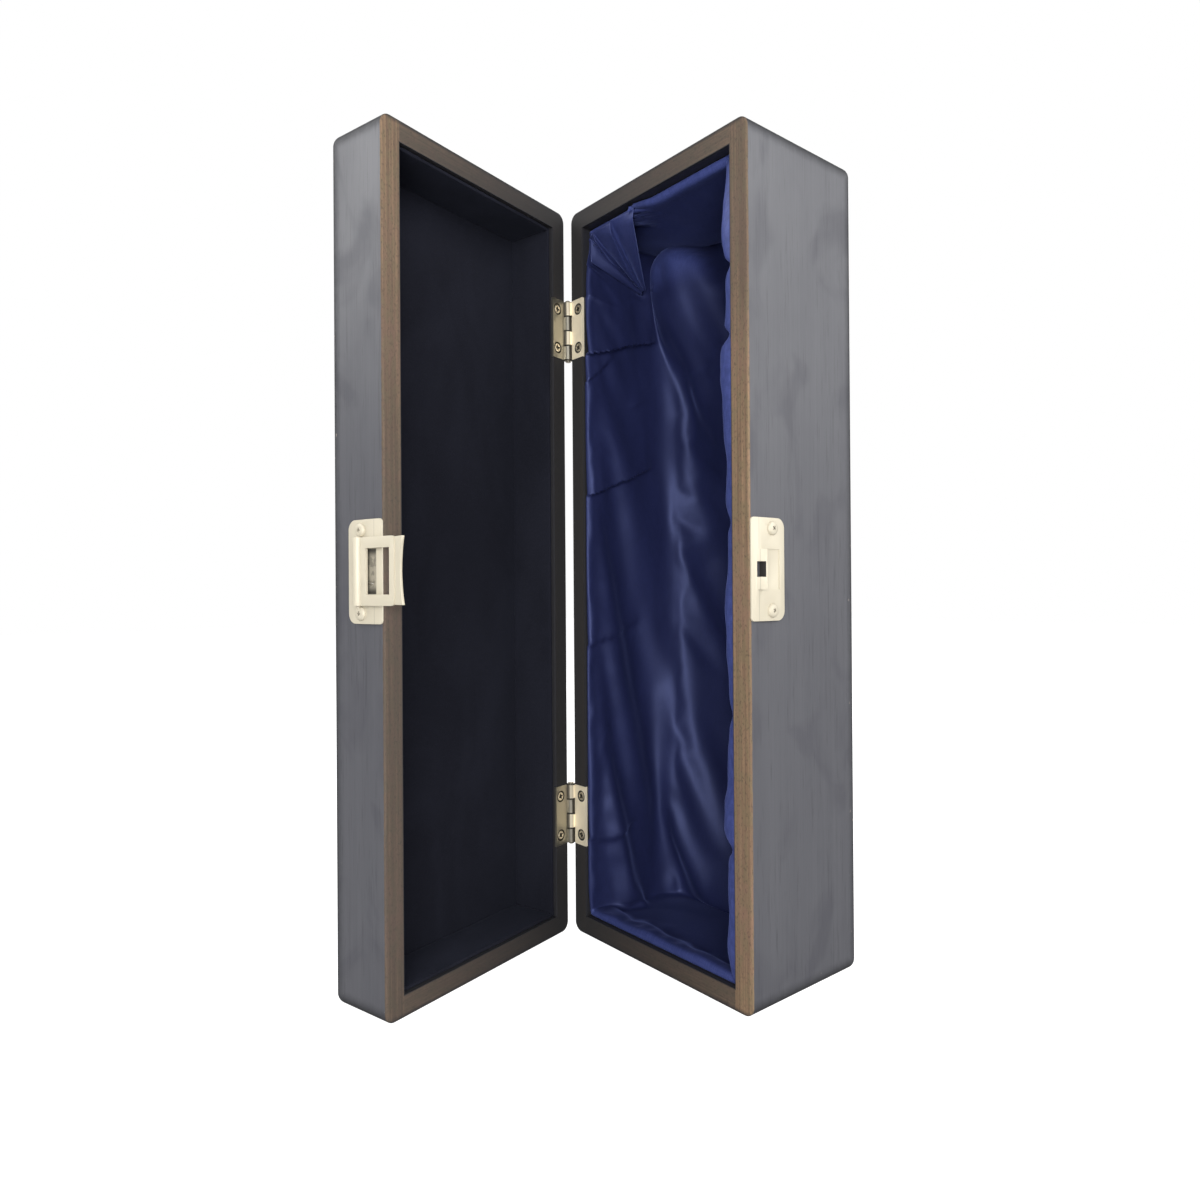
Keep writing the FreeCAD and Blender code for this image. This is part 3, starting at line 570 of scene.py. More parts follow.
hingeFinish = {
    "height": (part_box("upper_hinge_tray_leaf")[0].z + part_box("upper_hinge_tray_leaf")[1].z) / 2,
    "knuckle": (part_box("upper_hinge_tray_leaf")[1].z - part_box("upper_hinge_tray_leaf")[0].z) / 4,
    "barrel": (0.0030, 0.0027),
    "joint": (0.00065, 0.00020),
    "screw": (-0.0514, 0.0095),  # across, and up from the middle of the hinge
    # painted shadow ring round each screw seat
    "seat": (0.0030, 0.00255),
    # painted shade on the side of each barrel turned from the light
    "barrelShadeSide": {False: (-0.63, -0.78), True: (-0.59, 0.81)},
    "barrelShade": (0.0002, 0.0008),
    "barrelShadeMiddle": (-0.0014, -0.0010),
    "middle": 0.55,  # how much painted shade lies on the middle of the barrel
    "barrelShadeMost": 0.9,
    # the tray leaf is painted as a lit copy of the nickel, the lid leaf as a shaded copy
    "leaf": {False: {"light": (0.95, 0.84, 0.63), "roughness": 0.30, "metallic": 0.38},
             True: {"light": (0.40, 0.375, 0.31), "roughness": 0.24}},
}


def hingeJointsAndShade(tree, onLid):
    # dark joints between the knuckles, and painted shade round the screw seats and on the side of each
    # knuckle turned from the light
    finish = hingeFinish
    x, y, z = splitAxes(tree, objectPlace(tree, onLid))
    middle = (caseBox["low"] + caseBox["high"]) / 2
    above = distanceFrom(tree, distanceFrom(tree, z, middle), finish["height"] - middle)
    right, front = minus(tree, x, hingeLine.x), minus(tree, y, hingeLine.y)
    onBarrel = ramp(tree, length(tree, right, front), *finish["barrel"])
    joint = arithmetic(tree, "PINGPONG", above, finish["knuckle"] / 2)
    joint = times(tree, ramp(tree, joint, *finish["joint"]), onBarrel)
    across, up = finish["screw"]
    seat = ramp(tree, length(tree, minus(tree, x, across), minus(tree, above, up)), *finish["seat"])
    # each leaf's knuckles are rolled from the other side, and the side of the roll turned from the light is
    # painted with shade
    sideways, forwards = finish["barrelShadeSide"][onLid]
    turn = plus(tree, times(tree, right, sideways), times(tree, front, forwards))
    barrelShade = larger(tree, ramp(tree, turn, *finish["barrelShade"]),
                  times(tree, ramp(tree, turn, *finish["barrelShadeMiddle"]), finish["middle"]))
    barrelShade = times(tree, times(tree, barrelShade, onBarrel), finish["barrelShadeMost"])
    return larger(tree, larger(tree, joint, seat), barrelShade)


velvetFinish = {
    "pile": ((2200, 2200, 2200), 2, 0.6),
    "brushed": ((26, 26, 12), 4, 0.55, 0.8),
    "brushedRange": (0.3, 0.7),
    "nap": ((0.0055, 0.0060, 0.0105), (0.0090, 0.0098, 0.0162)),
    "fleckRange": (0.55, 0.75),
    "fleck": ((0.016, 0.0175, 0.028), 0.5),
    "gloss": {"Roughness": 0.92, "Specular IOR Level": 0.15, "Sheen Weight": 0.04, "Sheen Roughness": 0.5,
              "Sheen Tint": (0.55, 0.62, 0.95, 1.0)},
    "bump": (0.35, 0.0004),
}
satinFinish = {
    "warp": ((3200, 260, 1), 2),
    "weft": ((260, 3200, 1), 2),
    "weftShare": 0.35,
    "slubs": ((60, 18, 1), 3),
    "slubRange": (0.3, 0.7),
    "threadRange": (0.35, 0.65),
    "base": ((0.0090, 0.0114, 0.042), (0.0130, 0.0164, 0.058)),
    "thread": ((0.0066, 0.0082, 0.030), 0.4),
    "sheenColours": ((0.054, 0.070, 0.220), (0.035, 0.047, 0.157)),  # painted sheen, where the cloth is made lighter as if lit
    "roughness": 0.41,
    "threadRoughness": 0.16,
    "gloss": {"Specular IOR Level": 0.5, "Specular Tint": (0.42, 0.50, 1.0, 1.0), "Sheen Weight": 0.24,
              "Sheen Roughness": 0.35, "Sheen Tint": (0.32, 0.40, 1.0, 1.0)},
    "bump": (0.10, 0.0001),
}


def velvetMaterial(name):
    material, tree, shader = newMaterial(name)
    coordinates = objectPlace(tree)
    pile = stretchedNoise(tree, coordinates, *velvetFinish["pile"])
    brushed = stretchedNoise(tree, coordinates, *velvetFinish["brushed"])
    colour = mixColour(tree, ramp(tree, brushed, *velvetFinish["brushedRange"]), *velvetFinish["nap"])
    colour = cover(tree, colour, ramp(tree, pile, *velvetFinish["fleckRange"]), *velvetFinish["fleck"])
    join(tree, colour, shader.inputs["Base Color"])
    setSockets(shader, velvetFinish["gloss"])
    addBump(tree, shader, pile, *velvetFinish["bump"])
    return material


def satinMaterial(name):
    material, tree, shader = newMaterial(name)
    flat = addNode(tree, "ShaderNodeAttribute", attribute_name="flat").outputs["Vector"]
    warp, weft, slubs = (stretchedNoise(tree, flat, *satinFinish[key]) for key in ("warp", "weft", "slubs"))
    threads = mixValue(tree, satinFinish["weftShare"], warp, weft)
    lines = ramp(tree, threads, *satinFinish["threadRange"])
    colour = mixColour(tree, ramp(tree, slubs, *satinFinish["slubRange"]), *satinFinish["base"])
    colour = cover(tree, colour, lines, *satinFinish["thread"])
    # the turned attribute holds painted sheen: the colour is made lighter there
    turned = addNode(tree, "ShaderNodeAttribute", attribute_name="turned").outputs["Fac"]
    colour = mixColour(tree, turned, colour, mixColour(tree, lines, *satinFinish["sheenColours"]))
    join(tree, colour, shader.inputs["Base Color"])
    roughness = plus(tree, satinFinish["roughness"], times(tree, threads, satinFinish["threadRoughness"]))
    join(tree, roughness, shader.inputs["Roughness"])
    setSockets(shader, satinFinish["gloss"])
    addBump(tree, shader, threads, *satinFinish["bump"])
    return material


boardLooks = {
    (onLid, crossGrain): boardMaterial(f"{'lid' if onLid else 'tray'}{'End' if crossGrain else 'Side'}Wood",
                                       onLid, crossGrain)
    for onLid in (False, True) for crossGrain in (False, True)
}
hingeMetal = {onLid: metalMaterial("lidHingeNickelShaded" if onLid else "trayHingeNickelLit",
                                   dict(nickel, onLid=onLid, **hingeFinish["leaf"][onLid]))
              for onLid in (False, True)}
pinMetal = metalMaterial("hingePinNickel", dict(nickel, roughness=0.18))
latchMetal = metalMaterial("latchChampagne", champagne)
plateMetal = {which: metalMaterial(which + "PlateChampagne", dict(champagne, plate=which))
              for which in ("latch", "keeper")}
screwMetal = {"hinge": metalMaterial("hingeScrewNickel", dict(nickel, recessShade=True)),
              "latch": metalMaterial("latchScrewChampagne", dict(champagne, recessShade=True))}
springSteel = metalMaterial("springWire", springWire)
velvet = velvetMaterial("navyVelvet")
satin = satinMaterial("blueSatin")


def nodeMaterial(name):
    if name.startswith(("tray_", "lid_")) and not name.endswith("lining"):
        return boardLooks[name.startswith("lid_"), name.endswith("_end")]
    if name == "latch_spring":
        return springSteel
    if name.endswith("_leaf"):
        return hingeMetal["_lid_" in name]
    if name.endswith("hinge_pin"):
        return pinMetal
    if name.endswith("_plate"):
        return plateMetal[name.split("_")[0]]
    if name.startswith(("latch", "keeper")):
        return latchMetal
    return satin if name.startswith("satin") else velvet


for name, obj in nodes.items():
    paint(obj, nodeMaterial(name))
print("finishes on the solids")


# screws with a pressed cross, made once for the hinges and once for the latch plates

screwShapes = {
    "hinge": {"head": 0.00238, "sunk": 0.0012, "reach": 0.0120, "top": 0.0, "crown": 0.0,
              "rings": [(0.00012, -0.00030), (0.00022, 0.0), (0.00010, 0.00026), (0.00055, 0.00008),
                        (0.00045, -0.00014)],
              "cross": (0.0027, 0.00075, 0.0012), "dirtAndShade": 0.9, "slot": "nickel_hardware"},
    "latch": {"head": 0.00285, "sunk": 0.0010, "reach": 0.0075, "top": 0.00020, "crown": 0.0006,
              "rings": [(0.00012, 0.00040), (0.00028, 0.00032), (0.00050, 0.00022), (0.00065, 0.00008)],
              "cross": (0.0019, 0.00055, 0.0010), "dirtAndShade": 0.55, "slot": "pale_latch_metal"},
    "sides": 32,
    "facing": 0.9,  # faces that look up or down
    "smallest": 1e-6,
    "disc": 0.0002,
    "shank": 0.0012,
    "tip": 0.0025,
    "point": 0.08,
    "crossShade": (0.00012, 0.00025),  # from under the top to below the floor of the cross
    "groove": (0.00036, -0.00005),  # how wide and how deep the groove round a hinge screw is that is painted with shade
    "turns": ((17, 31), (52, 23)),  # upper and lower screw: degrees in the first pair, then more in each
    "smooth": 35,
}
# kind, body and the turn that points the head out
screwNodes = {
    "upper_hinge_tray_screws": ("hinge", "tray", 90, "X"),
    "lower_hinge_tray_screws": ("hinge", "tray", 90, "X"),
    "upper_hinge_lid_screws": ("hinge", "lid", -90, "X"),
    "lower_hinge_lid_screws": ("hinge", "lid", -90, "X"),
    "keeper_screws": ("latch", "tray", 90, "Y"),
    "latch_screws": ("latch", "lid", 90, "Y"),
}


def selectFaces(obj, test):
    bpy.ops.object.mode_set(mode="EDIT")
    bpy.ops.mesh.select_mode(type="FACE")
    bpy.ops.mesh.select_all(action="DESELECT")
    leaveEdit()
    for face in obj.data.polygons:
        face.select = test(face)
    bpy.ops.object.mode_set(mode="EDIT")


def makeScrew(kind):
    shape, disc, tip = screwShapes[kind], screwShapes["disc"], screwShapes["tip"]
    deselectAll()
    bpy.ops.mesh.primitive_cylinder_add(vertices=screwShapes["sides"], radius=shape["head"], depth=disc,
                                        location=(0, 0, shape["top"] - disc / 2))
    blank = applyPlace()
    selectFaces(blank, lambda face: face.normal.z > screwShapes["facing"])
    for inset, rise in shape["rings"]:
        bpy.ops.mesh.inset(thickness=inset, depth=rise)
    # the sunk cone, the shank and the tip under the head
    selectFaces(blank, lambda face: face.normal.z < -screwShapes["facing"]
                and face.area > screwShapes["smallest"])
    level = shape["top"] - disc
    for fall, scale in ((shape["sunk"], screwShapes["shank"] / shape["head"]),
                        (shape["reach"] - shape["sunk"] - tip, 1.0), (tip, screwShapes["point"])):
        level -= fall
        bpy.ops.mesh.extrude_region_move(TRANSFORM_OT_translate={"value": (0, 0, -fall)})
        bpy.ops.transform.resize(value=(scale, scale, 1), center_override=(0, 0, level))
    leaveEdit()
    long, narrow, deep = shape["cross"]
    top = max(v.co.z for v in blank.data.vertices)
    for size in ((long, narrow, deep), (narrow, long, deep)):
        deselectAll()
        bpy.ops.mesh.primitive_cube_add(size=1, location=(0, 0, top))
        bpy.context.object.scale = size
        punch = applyPlace()
        applyModifier(blank, "BOOLEAN", operation="DIFFERENCE", object=punch, solver="EXACT")
        pick(punch)
        bpy.ops.object.delete()
    # painted shade in the cross and in the groove round a hinge screw's head
    recessShade = blank.data.attributes.new("recessShade", "FLOAT", "FACE")
    under, past = screwShapes["crossShade"]
    wide, sunk = screwShapes["groove"]
    for face in blank.data.polygons:
        across = math.hypot(face.center.x, face.center.y)
        inCross = across < long / 2 and under < top - face.center.z < deep / 2 + past
        inGroove = kind == "hinge" and across > shape["head"] - wide and face.center.z < sunk
        recessShade.data[face.index].value = shape["dirtAndShade"] * (inCross or inGroove)
    smoothByAngle(blank, screwShapes["smooth"])
    return blank


def placeScrews(node, kind, body, degrees, axis, turns):
    turnOut = Matrix.Rotation(math.radians(degrees), 4, axis)
    outward = np.array((turnOut @ Vector((0, 0, 1))).normalized())
    place = shutLid if body == "lid" else Matrix()
    points = np.array([place @ v.co for v in nodes[node].data.vertices])
    middle = (points[:, 2].min() + points[:, 2].max()) / 2
    copies = []
    for half, turn in zip((points[points[:, 2] > middle], points[points[:, 2] <= middle]), turns):
        centre = (half.min(0) + half.max(0)) / 2
        surface = (half @ outward).max() - screwShapes[kind]["crown"]
        centre += outward * (surface - centre @ outward)
        pick(screwBlanks[kind])
        bpy.ops.object.duplicate()
        copy = bpy.context.object
        copy.data.transform(place.inverted() @ Matrix.Translation(Vector(centre)) @ turnOut
                            @ Matrix.Rotation(math.radians(turn), 4, "Z"))
        copies.append(copy)
    pair = joinPieces(copies)
    pair.name = pieceName(node)
    paint(pair, screwMetal[kind])
    dress(pair, body, screwShapes[kind]["slot"], node)


screwBlanks = {kind: makeScrew(kind) for kind in ("hinge", "latch")}
for number, (node, place) in enumerate(screwNodes.items()):
    placeScrews(node, *place, [first + step * number for first, step in screwShapes["turns"]])
for blank in screwBlanks.values():
    pick(blank)
    bpy.ops.object.delete()
print("screws in the hinges and the latch plates")


# the cast pieces of the latch have softened edges

castPieces = {
    "latch_lever": ("latchLever", "latch_lever", 0.00035),
    "latch_plate": ("latchPlate", "lid", 0.00018),
    "keeper_plate": ("keeperPlate", "tray", 0.00018),
}
castEdges = {"merge": 0.00001, "level": 0.5, "sharp": 40, "segments": 3}


def softenedCopy(node, name, body, soft):
    copy = bpy.data.objects.new(name, nodes[node].data.copy())
    bpy.context.scene.collection.objects.link(copy)
    editAll(copy)
    bpy.ops.mesh.remove_doubles(threshold=castEdges["merge"])
    bpy.ops.mesh.dissolve_limited(angle_limit=math.radians(castEdges["level"]))
    leaveEdit()
    applyModifier(copy, "BEVEL", width=soft, segments=castEdges["segments"], limit_method="ANGLE",
                  angle_limit=math.radians(castEdges["sharp"]))
    smoothByAngle(copy, castEdges["sharp"])
    dress(copy, body, "pale_latch_metal", node)


for node, settings in castPieces.items():
    softenedCopy(node, *settings)
print("latch pieces with softened edges")


# velvet on card in the lid, one panel for each face of the recess

velvetPanels = {
    "nodes": ["lid_face_lining", "lid_hinge_side_lining", "lid_latch_side_lining", "lid_top_lining",
              "lid_bottom_lining"],
    "edge": 0.0006,
    "segments": 3,
    "cells": 40,
    "puff": 0.00022,
    "puffScale": 60,
    "smooth": 50,
}


def velvetPanel(node):
    low, high = shutBounds(node)
    deselectAll()
    bpy.ops.mesh.primitive_cube_add(size=1, location=(low + high) / 2)
    bpy.context.object.scale = high - low
    panel = applyPlace()
    panel.name = pieceName(node).replace("Lid", "velvet", 1)
    applyModifier(panel, "BEVEL", width=velvetPanels["edge"], segments=velvetPanels["segments"])
    # even strips along and across, so that the cloth can swell a little
    editAll(panel)
    for axis in range(3):
        cuts = int((high[axis] - low[axis]) / (high - low).max() * velvetPanels["cells"])
        for cut in range(1, cuts):
            point = low.copy()
            point[axis] += (high[axis] - low[axis]) * cut / cuts
            normal = [0.0, 0.0, 0.0]
            normal[axis] = 1.0
            bpy.ops.mesh.select_all(action="SELECT")
            bpy.ops.mesh.bisect(plane_co=point, plane_no=normal)
    leaveEdit()
    points = readPoints(panel)
    swell = noiseAt(points * velvetPanels["puffScale"]) * velvetPanels["puff"]
    writePoints(panel, np.clip(points + readPoints(panel, "normal") * swell[:, None], low, high))
    panel.data.transform(shutLid.inverted())
    paint(panel, velvet)
    smoothByAngle(panel, velvetPanels["smooth"])
    dress(panel, "lid", "navy_velvet", node)


for node in velvetPanels["nodes"]:
    velvetPanel(node)
print("velvet panels in the lid")


# one loose satin cloth lines the tray

satinCloth = {
    "rowsLow": 58,  # rows of cloth under and over the change of spacing
    "rowsHigh": 80,
    "change": 0.205,
    "columns": 28,
    "rows": 21,
    "crowding": 1.7,  # rows gather towards the hem
    "merge": 0.0001,
    "touch": 1e-5,
    "clear": 0.0004,
    "rest": 0.0030,
    "bed": 0.0030,
    "corner": 0.018,  # how wide the cloth spans the deep corners
    "cutBed": (0.090, 0.331),  # the flat cut: the tray's inside less 3 mm of wadding all round
    "cutSide": 0.062,
    "thickness": 0.0003,
    "heldHem": (0.0030, 0.0120),
    "heldLeast": 0.03,
    "heldHinge": 0.12,
    "smooth": 0.5,
    "smoothRounds": (8, 3),  # before and after the cloth hangs
}
neckRest = {
    "across": [0, 0.008, 0.020, 0.029, 0.037, 0.043, 0.048],
    "rise": [0.0150, 0.0165, 0.0225, 0.0255, 0.0250, 0.0225, 0.0185],
    "top": [0.3150, 0.3280, 0.3400, 0.3445, 0.3445, 0.3430, 0.3410],  # where its top edge lies
    "over": 0.003,
    "low": 0.258,
    "slope": 0.062,
    "round": 0.0130,
    "sunk": 0.001,
    "held": 0.70,
    "heldRise": (0.002, 0.012),
    "calmRise": 0.004,
    # painted sheen on the crown of the neck rest
    "turned": 0.55,
    "crownRise": (0.012, 0.020),
    "crownHeight": (0.316, 0.332),
    "tight": 0.75,
    "tightRise": (0.004, 0.015),
}


def neckRise(x, z):
    # the cushion under the cloth: two crowns with a dip between them
    side = np.abs(x)
    across = np.interp(side, neckRest["across"], neckRest["rise"])
    top = np.interp(side, neckRest["across"], neckRest["top"]) + neckRest["over"]
    below = np.clip((top - z) / neckRest["round"], 0, 1)
    above = smoothStep(neckRest["low"], neckRest["low"] + neckRest["slope"], z)
    return across * np.sqrt(1 - (1 - below) ** 2) * above


hemShape = {
    # how far each side puffs out and how much that swings, then how strong the painted sheen along the hem is
    # and how far down it reaches
    "hinge": {"roll": (0.0015, 0.0005), "turned": (0.15, 0.0026)},
    "latch": {"roll": (0.0063, 0.0026), "turned": (1.0, 0.0075)},
    "top": {"roll": (0.0032, 0.0006), "turned": (1.0, 0.0036)},
    "bottom": {"roll": (0.0032, 0.0010), "turned": (0.70, 0.0026)},
    "topEndSheen": 0.13,
    # at each of these heights, how deep it lies under the rim
    "height": [0.009, 0.022, 0.300, 0.315, 0.327, 0.344, 0.346],
    "under": [0.0025, 0.0013, 0.0012, 0.0014, 0.0026, 0.0044, 0.0052],
    "depth": 0.0026,
    "settle": (0.00312, 0.014),
    "swing": 1.6,
    "wave": 0.018,
    "shift": 3.7,
    "seed": 4,
    "gaps": [0.299, 0.271, 0.196, 0.118, 0.063],  # where it is caught down on the latch side
    "gapWidth": 0.0022,
    "gapDepth": 0.75,
}


def hemLine(points):
    return inside["rim"] + np.interp(points[:, 2], hemShape["height"], hemShape["under"])


def clothPanel(along, across, size, centre, turn):
    deselectAll()
    bpy.ops.mesh.primitive_grid_add(x_subdivisions=across, y_subdivisions=along, size=1)
    panel = bpy.context.object
    panel.scale = (*size, 1)
    panel.rotation_euler = turn
    panel.location = centre
    return applyPlace()


def buildLiner():
    half, rim, back, low, high = (inside[key] for key in ("half", "rim", "back", "low", "high"))
    depth = back - rim
    tall = satinCloth["rowsLow"] + satinCloth["rowsHigh"]
    turning = satinCloth["rowsLow"] / tall
    wide, rows = satinCloth["columns"], satinCloth["rows"]
    right = math.radians(90)
    middle = Vector((0, (rim + back) / 2, (low + high) / 2))
    panels = [clothPanel(tall, wide, (2 * half, high - low), (0, back, middle.z), (right, 0, 0))]
    for side in (-half, half):
        panels.append(clothPanel(tall, rows, (depth, high - low), (side, middle.y, middle.z),
                                 (right, 0, right)))
    for end in (high, low):
        panels.append(clothPanel(rows, wide, (2 * half, depth), (0, middle.y, end), (0, 0, 0)))
    for index, panel in enumerate(panels):
        # rows crowd towards the hem and the top, and each point keeps its place on the flat cloth
        points = readPoints(panel)
        share = (points[:, 2] - low) / (high - low)
        points[:, 2] = np.interp(share, [0, turning, 1], [low, satinCloth["change"], high])
        if index:
            share = np.clip((points[:, 1] - rim) / depth, 0, 1) ** satinCloth["crowding"]
            hem = hemLine(points)
            points[:, 1] = hem + (back - hem) * share
        drop = back - points[:, 1]
        flat = np.zeros_like(points)
        flat[:, 0] = points[:, 0] + np.sign(points[:, 0]) * drop * (index in (1, 2))
        flat[:, 1] = points[:, 2] + drop * {3: 1, 4: -1}.get(index, 0)
        writePoints(panel, points)
        storeValues(panel, "flat", flat)
    liner = joinPieces(panels)
    liner.name = "satinLining"
    editAll(liner)
    bpy.ops.mesh.remove_doubles(threshold=satinCloth["merge"])
    leaveEdit()
    return liner


def faceInwards(obj):
    # the side that shows looks into the tray
    editAll(obj)
    bpy.ops.mesh.normals_make_consistent(inside=True)
    leaveEdit()
    towards = np.array([0, inside["rim"], (inside["low"] + inside["high"]) / 2]) - readPoints(obj)
    if np.mean(np.sum(towards * readPoints(obj, "normal"), axis=1)) < 0:
        editAll(obj)
        bpy.ops.mesh.flip_normals()
        leaveEdit()


def standOff(down, side, along):
    # how far the cloth stands from a wall: a puffed hem that swells at random, then a loose fall
    puff, swing = hemShape[side]["roll"]
    shift = len(side) * hemShape["shift"]
    waves = noiseAt([(value / hemShape["wave"], shift, hemShape["seed"]) for value in along])
    roll = puff + swing * hemShape["swing"] * waves
    if side == "latch":
        for gap in hemShape["gaps"]:
            roll *= 1 - hemShape["gapDepth"] * np.exp(-((along - gap) / hemShape["gapWidth"]) ** 2)
    share = np.clip(down / hemShape["depth"], 0, 1)
    rise = np.sqrt(1 - (1 - share) ** 2)
    settle = smoothStep(*hemShape["settle"], down)
    return satinCloth["clear"] + roll * rise * (1 - settle) + satinCloth["rest"] * settle


def roundCorner(wall, bed):
    # how far the cloth leaves a corner that it spans in a wide curve, from its distances to wall and bed
    radius = satinCloth["corner"]
    along = np.clip(radius - bed + wall, 0, 2 * radius)
    angle = along / radius * math.pi / 4
    fade = np.clip(1 - np.minimum(wall, bed) / radius, 0, 1)
    inwards = radius * (1 - np.cos(angle)) - np.maximum(along - radius, 0)
    forwards = radius * (1 - np.sin(angle)) - np.maximum(radius - along, 0)
    return inwards * fade, forwards * fade


def shapeLiner(liner):
    half, back, low, high = (inside[key] for key in ("half", "back", "low", "high"))
    touch = satinCloth["touch"]
    points = readPoints(liner)
    x, y, z = points.copy().T
    hem = hemLine(points)
    down = np.maximum(y - hem, 0)
    on = {"hinge": x < -half + touch, "latch": x > half - touch,
          "top": z > high - touch, "bottom": z < low + touch}
    ways = {"hinge": (0, 1, z), "latch": (0, -1, z), "top": (2, -1, x), "bottom": (2, 1, x)}
    for side, (axis, way, along) in ways.items():
        points[:, axis] += way * np.where(on[side], standOff(down, side, along), 0)
    onBed = y > back - touch
    rise = neckRise(x, z)
    bed = satinCloth["bed"] + np.maximum(rise - neckRest["sunk"], 0)
    points[:, 1] -= bed * down / (back - hem)
    # beside the neck rest the corner is tighter
    inwards, forwards = roundCorner(half - np.abs(x), back - y)
    wide = 1 - neckRest["tight"] * smoothStep(*neckRest["tightRise"], rise)
    points[:, 0] -= np.sign(x) * inwards * wide
    points[:, 1] -= forwards * wide
    writePoints(liner, points)
    held = np.maximum(1 - smoothStep(*satinCloth["heldHem"], down), satinCloth["heldLeast"])
    held = np.maximum(held, np.where(on["hinge"], satinCloth["heldHinge"], 0))
    onRest = smoothStep(*neckRest["heldRise"], rise) * neckRest["held"]
    held = np.maximum(held, np.where(onBed, onRest, 0))
    calm = on["hinge"] | on["top"] | (rise > neckRest["calmRise"])
    for label, weights in (("hem", held), ("loose", 1 - held), ("calm", calm)):
        group = liner.vertex_groups.new(name=label)
        for index, weight in enumerate(weights):
            group.add([index], float(weight), "REPLACE")
    # painted sheen: the cloth is made lighter at the rolled hem, a little over the top end and on the crown
    # of the neck rest
    turned = on["top"] * hemShape["topEndSheen"]
    for side in on:
        most, reach = hemShape[side]["turned"]
        turned = np.maximum(turned, on[side] * most * np.exp(-(down / reach) ** 2))
    crown = smoothStep(*neckRest["crownRise"], rise) * smoothStep(*neckRest["crownHeight"], z) * onBed
    storeValues(liner, "turned", np.maximum(turned, crown * neckRest["turned"]))
    applyModifier(liner, "SMOOTH", factor=satinCloth["smooth"], iterations=satinCloth["smoothRounds"][0],
                  vertex_group="loose")


clothRun = {
    "frames": 24,
    "scale": 10,
    "gravity": 0.35,
    "settings": {"quality": 6, "mass": 0.15, "tension_stiffness": 18, "compression_stiffness": 18,
                 "shear_stiffness": 8, "bending_stiffness": 0.6,
                 "shrink_min": -0.034, "shrink_max": -0.006,  # the slack, and that of the calm parts
                 "vertex_group_shrink": "calm", "vertex_group_mass": "hem", "pin_stiffness": 1.0},
}


def relaxCloth(liner):
    # slack cloth buckles and hangs inside the box, at ten times its size
    frames, scale = clothRun["frames"], clothRun["scale"]
    writePoints(liner, readPoints(liner) * scale)
    pick(liner)
    bpy.ops.object.modifier_add(type="CLOTH")
    cloth = liner.modifiers[-1]
    for key, value in clothRun["settings"].items():
        setattr(cloth.settings, key, value)
    cloth.settings.effector_weights.gravity = clothRun["gravity"]
    cloth.collision_settings.use_collision = False
    cloth.collision_settings.use_self_collision = False
    cloth.point_cache.frame_start = 1
    cloth.point_cache.frame_end = frames
    for number in range(1, frames + 1):
        bpy.context.scene.frame_set(number)
    bpy.ops.object.modifier_apply(modifier=cloth.name)
    bpy.context.scene.frame_set(1)
    writePoints(liner, readPoints(liner) / scale)


def keepInside(points):
    clear = satinCloth["clear"]
    low = np.array([-inside["half"], inside["rim"], inside["low"]]) + clear
    high = np.array([inside["half"], inside["back"], inside["high"]]) - clear
    return np.clip(points, low, high)


# tucks and creases on the hinge side, in millimetres: points (depth from the rim, height), how far they
# stand out, how far the upper layer laps over the lower one, how fast the swelling fades and where it ends
tucks = [
    {"line": [(-1, 284), (11, 287), (25, 292), (39, 296), (50, 298)],
     "stand": 3.0, "lap": 2.0, "fade": 15, "end": 48},
    {"line": [(1, 215), (11, 219), (23, 224), (34, 229), (46, 233)],
     "stand": 2.6, "lap": 1.6, "fade": 13, "end": 44},
    {"line": [(0, 270), (9, 277), (19, 288)], "stand": 1.3, "lap": 0.5, "fade": 6, "end": 19},
    {"line": [(-2, 314), (9, 310), (22, 309)], "stand": 0.8, "lap": 0.3, "fade": 4, "end": 21},
    {"line": [(28, 261), (33, 263), (41, 266)], "stand": 0.8, "lap": 0.3, "fade": 4, "end": 40},
    {"line": [(0, 141), (14, 146), (30, 151), (44, 158)], "stand": 1.4, "lap": 0.6, "fade": 12, "end": 36},
    {"line": [(0, 48), (10, 45), (24, 50), (38, 58)], "stand": 1.4, "lap": 0.6, "fade": 9, "end": 32},
]
tuckShape = {"wall": (-0.041, -0.034), "begin": (-2, 3), "stop": 8, "drop": 0.5, "lapFade": 3.0}


def pressTucks(points):
    # each tuck swells towards its edge, laps over the cloth below and drops sharply
    depth = (points[:, 1] - inside["rim"]) * 1000
    height = points[:, 2] * 1000
    onHinge = 1 - smoothStep(*tuckShape["wall"], points[:, 0])
    early, late = tuckShape["begin"]
    for tuck in tucks:
        line = np.array(tuck["line"], float)
        slope = np.gradient(line[:, 1], line[:, 0])
        tilt = 1 / np.sqrt(1 + np.interp(depth, line[:, 0], slope) ** 2)
        above = (height - np.interp(depth, line[:, 0], line[:, 1])) * tilt
        away = np.abs(above)
        share = onHinge * smoothStep(line[0, 0] + early, line[0, 0] + late, depth)
        share *= 1 - smoothStep(tuck["end"] - tuckShape["stop"], tuck["end"], depth)
        swell = np.where(above > 0, np.exp(-away / tuck["fade"]), np.exp(-away / tuckShape["drop"]))
        points[:, 0] += share * swell * tuck["stand"] / 1000
        lap = np.where(above > 0, np.exp(-away / tuckShape["lapFade"]), 0)
        points[:, 2] -= share * lap * tuck["lap"] / 1000
    return points


wrinkles = {
    "swell": ((42, 60, 42), (7, 0, 0)),  # stretch and shift
    "fine": ((120, 45, 120), (0, 3, 0)),
    "pulls": (95, 22, 11, 16),  # across, slant, seed and along
    "bags": (5, 30, 34),  # side, across and along
    "size": {"swell": 0.0006, "fine": 0.0009, "pulls": 0.0030, "bags": 0.0030},
    "nearHem": 0.014,
    "hem": (0.0005, 0.003),
    "topEnd": (0.012, -0.040, 0.2),  # calm cloth: how far down, from where across, how much is left
    "gatherLow": (0.250, 0.285),
    "gatherHigh": (0.328, 0.341),
    "onBed": (0.024, 0.034),
    "corner": 0.018,
}


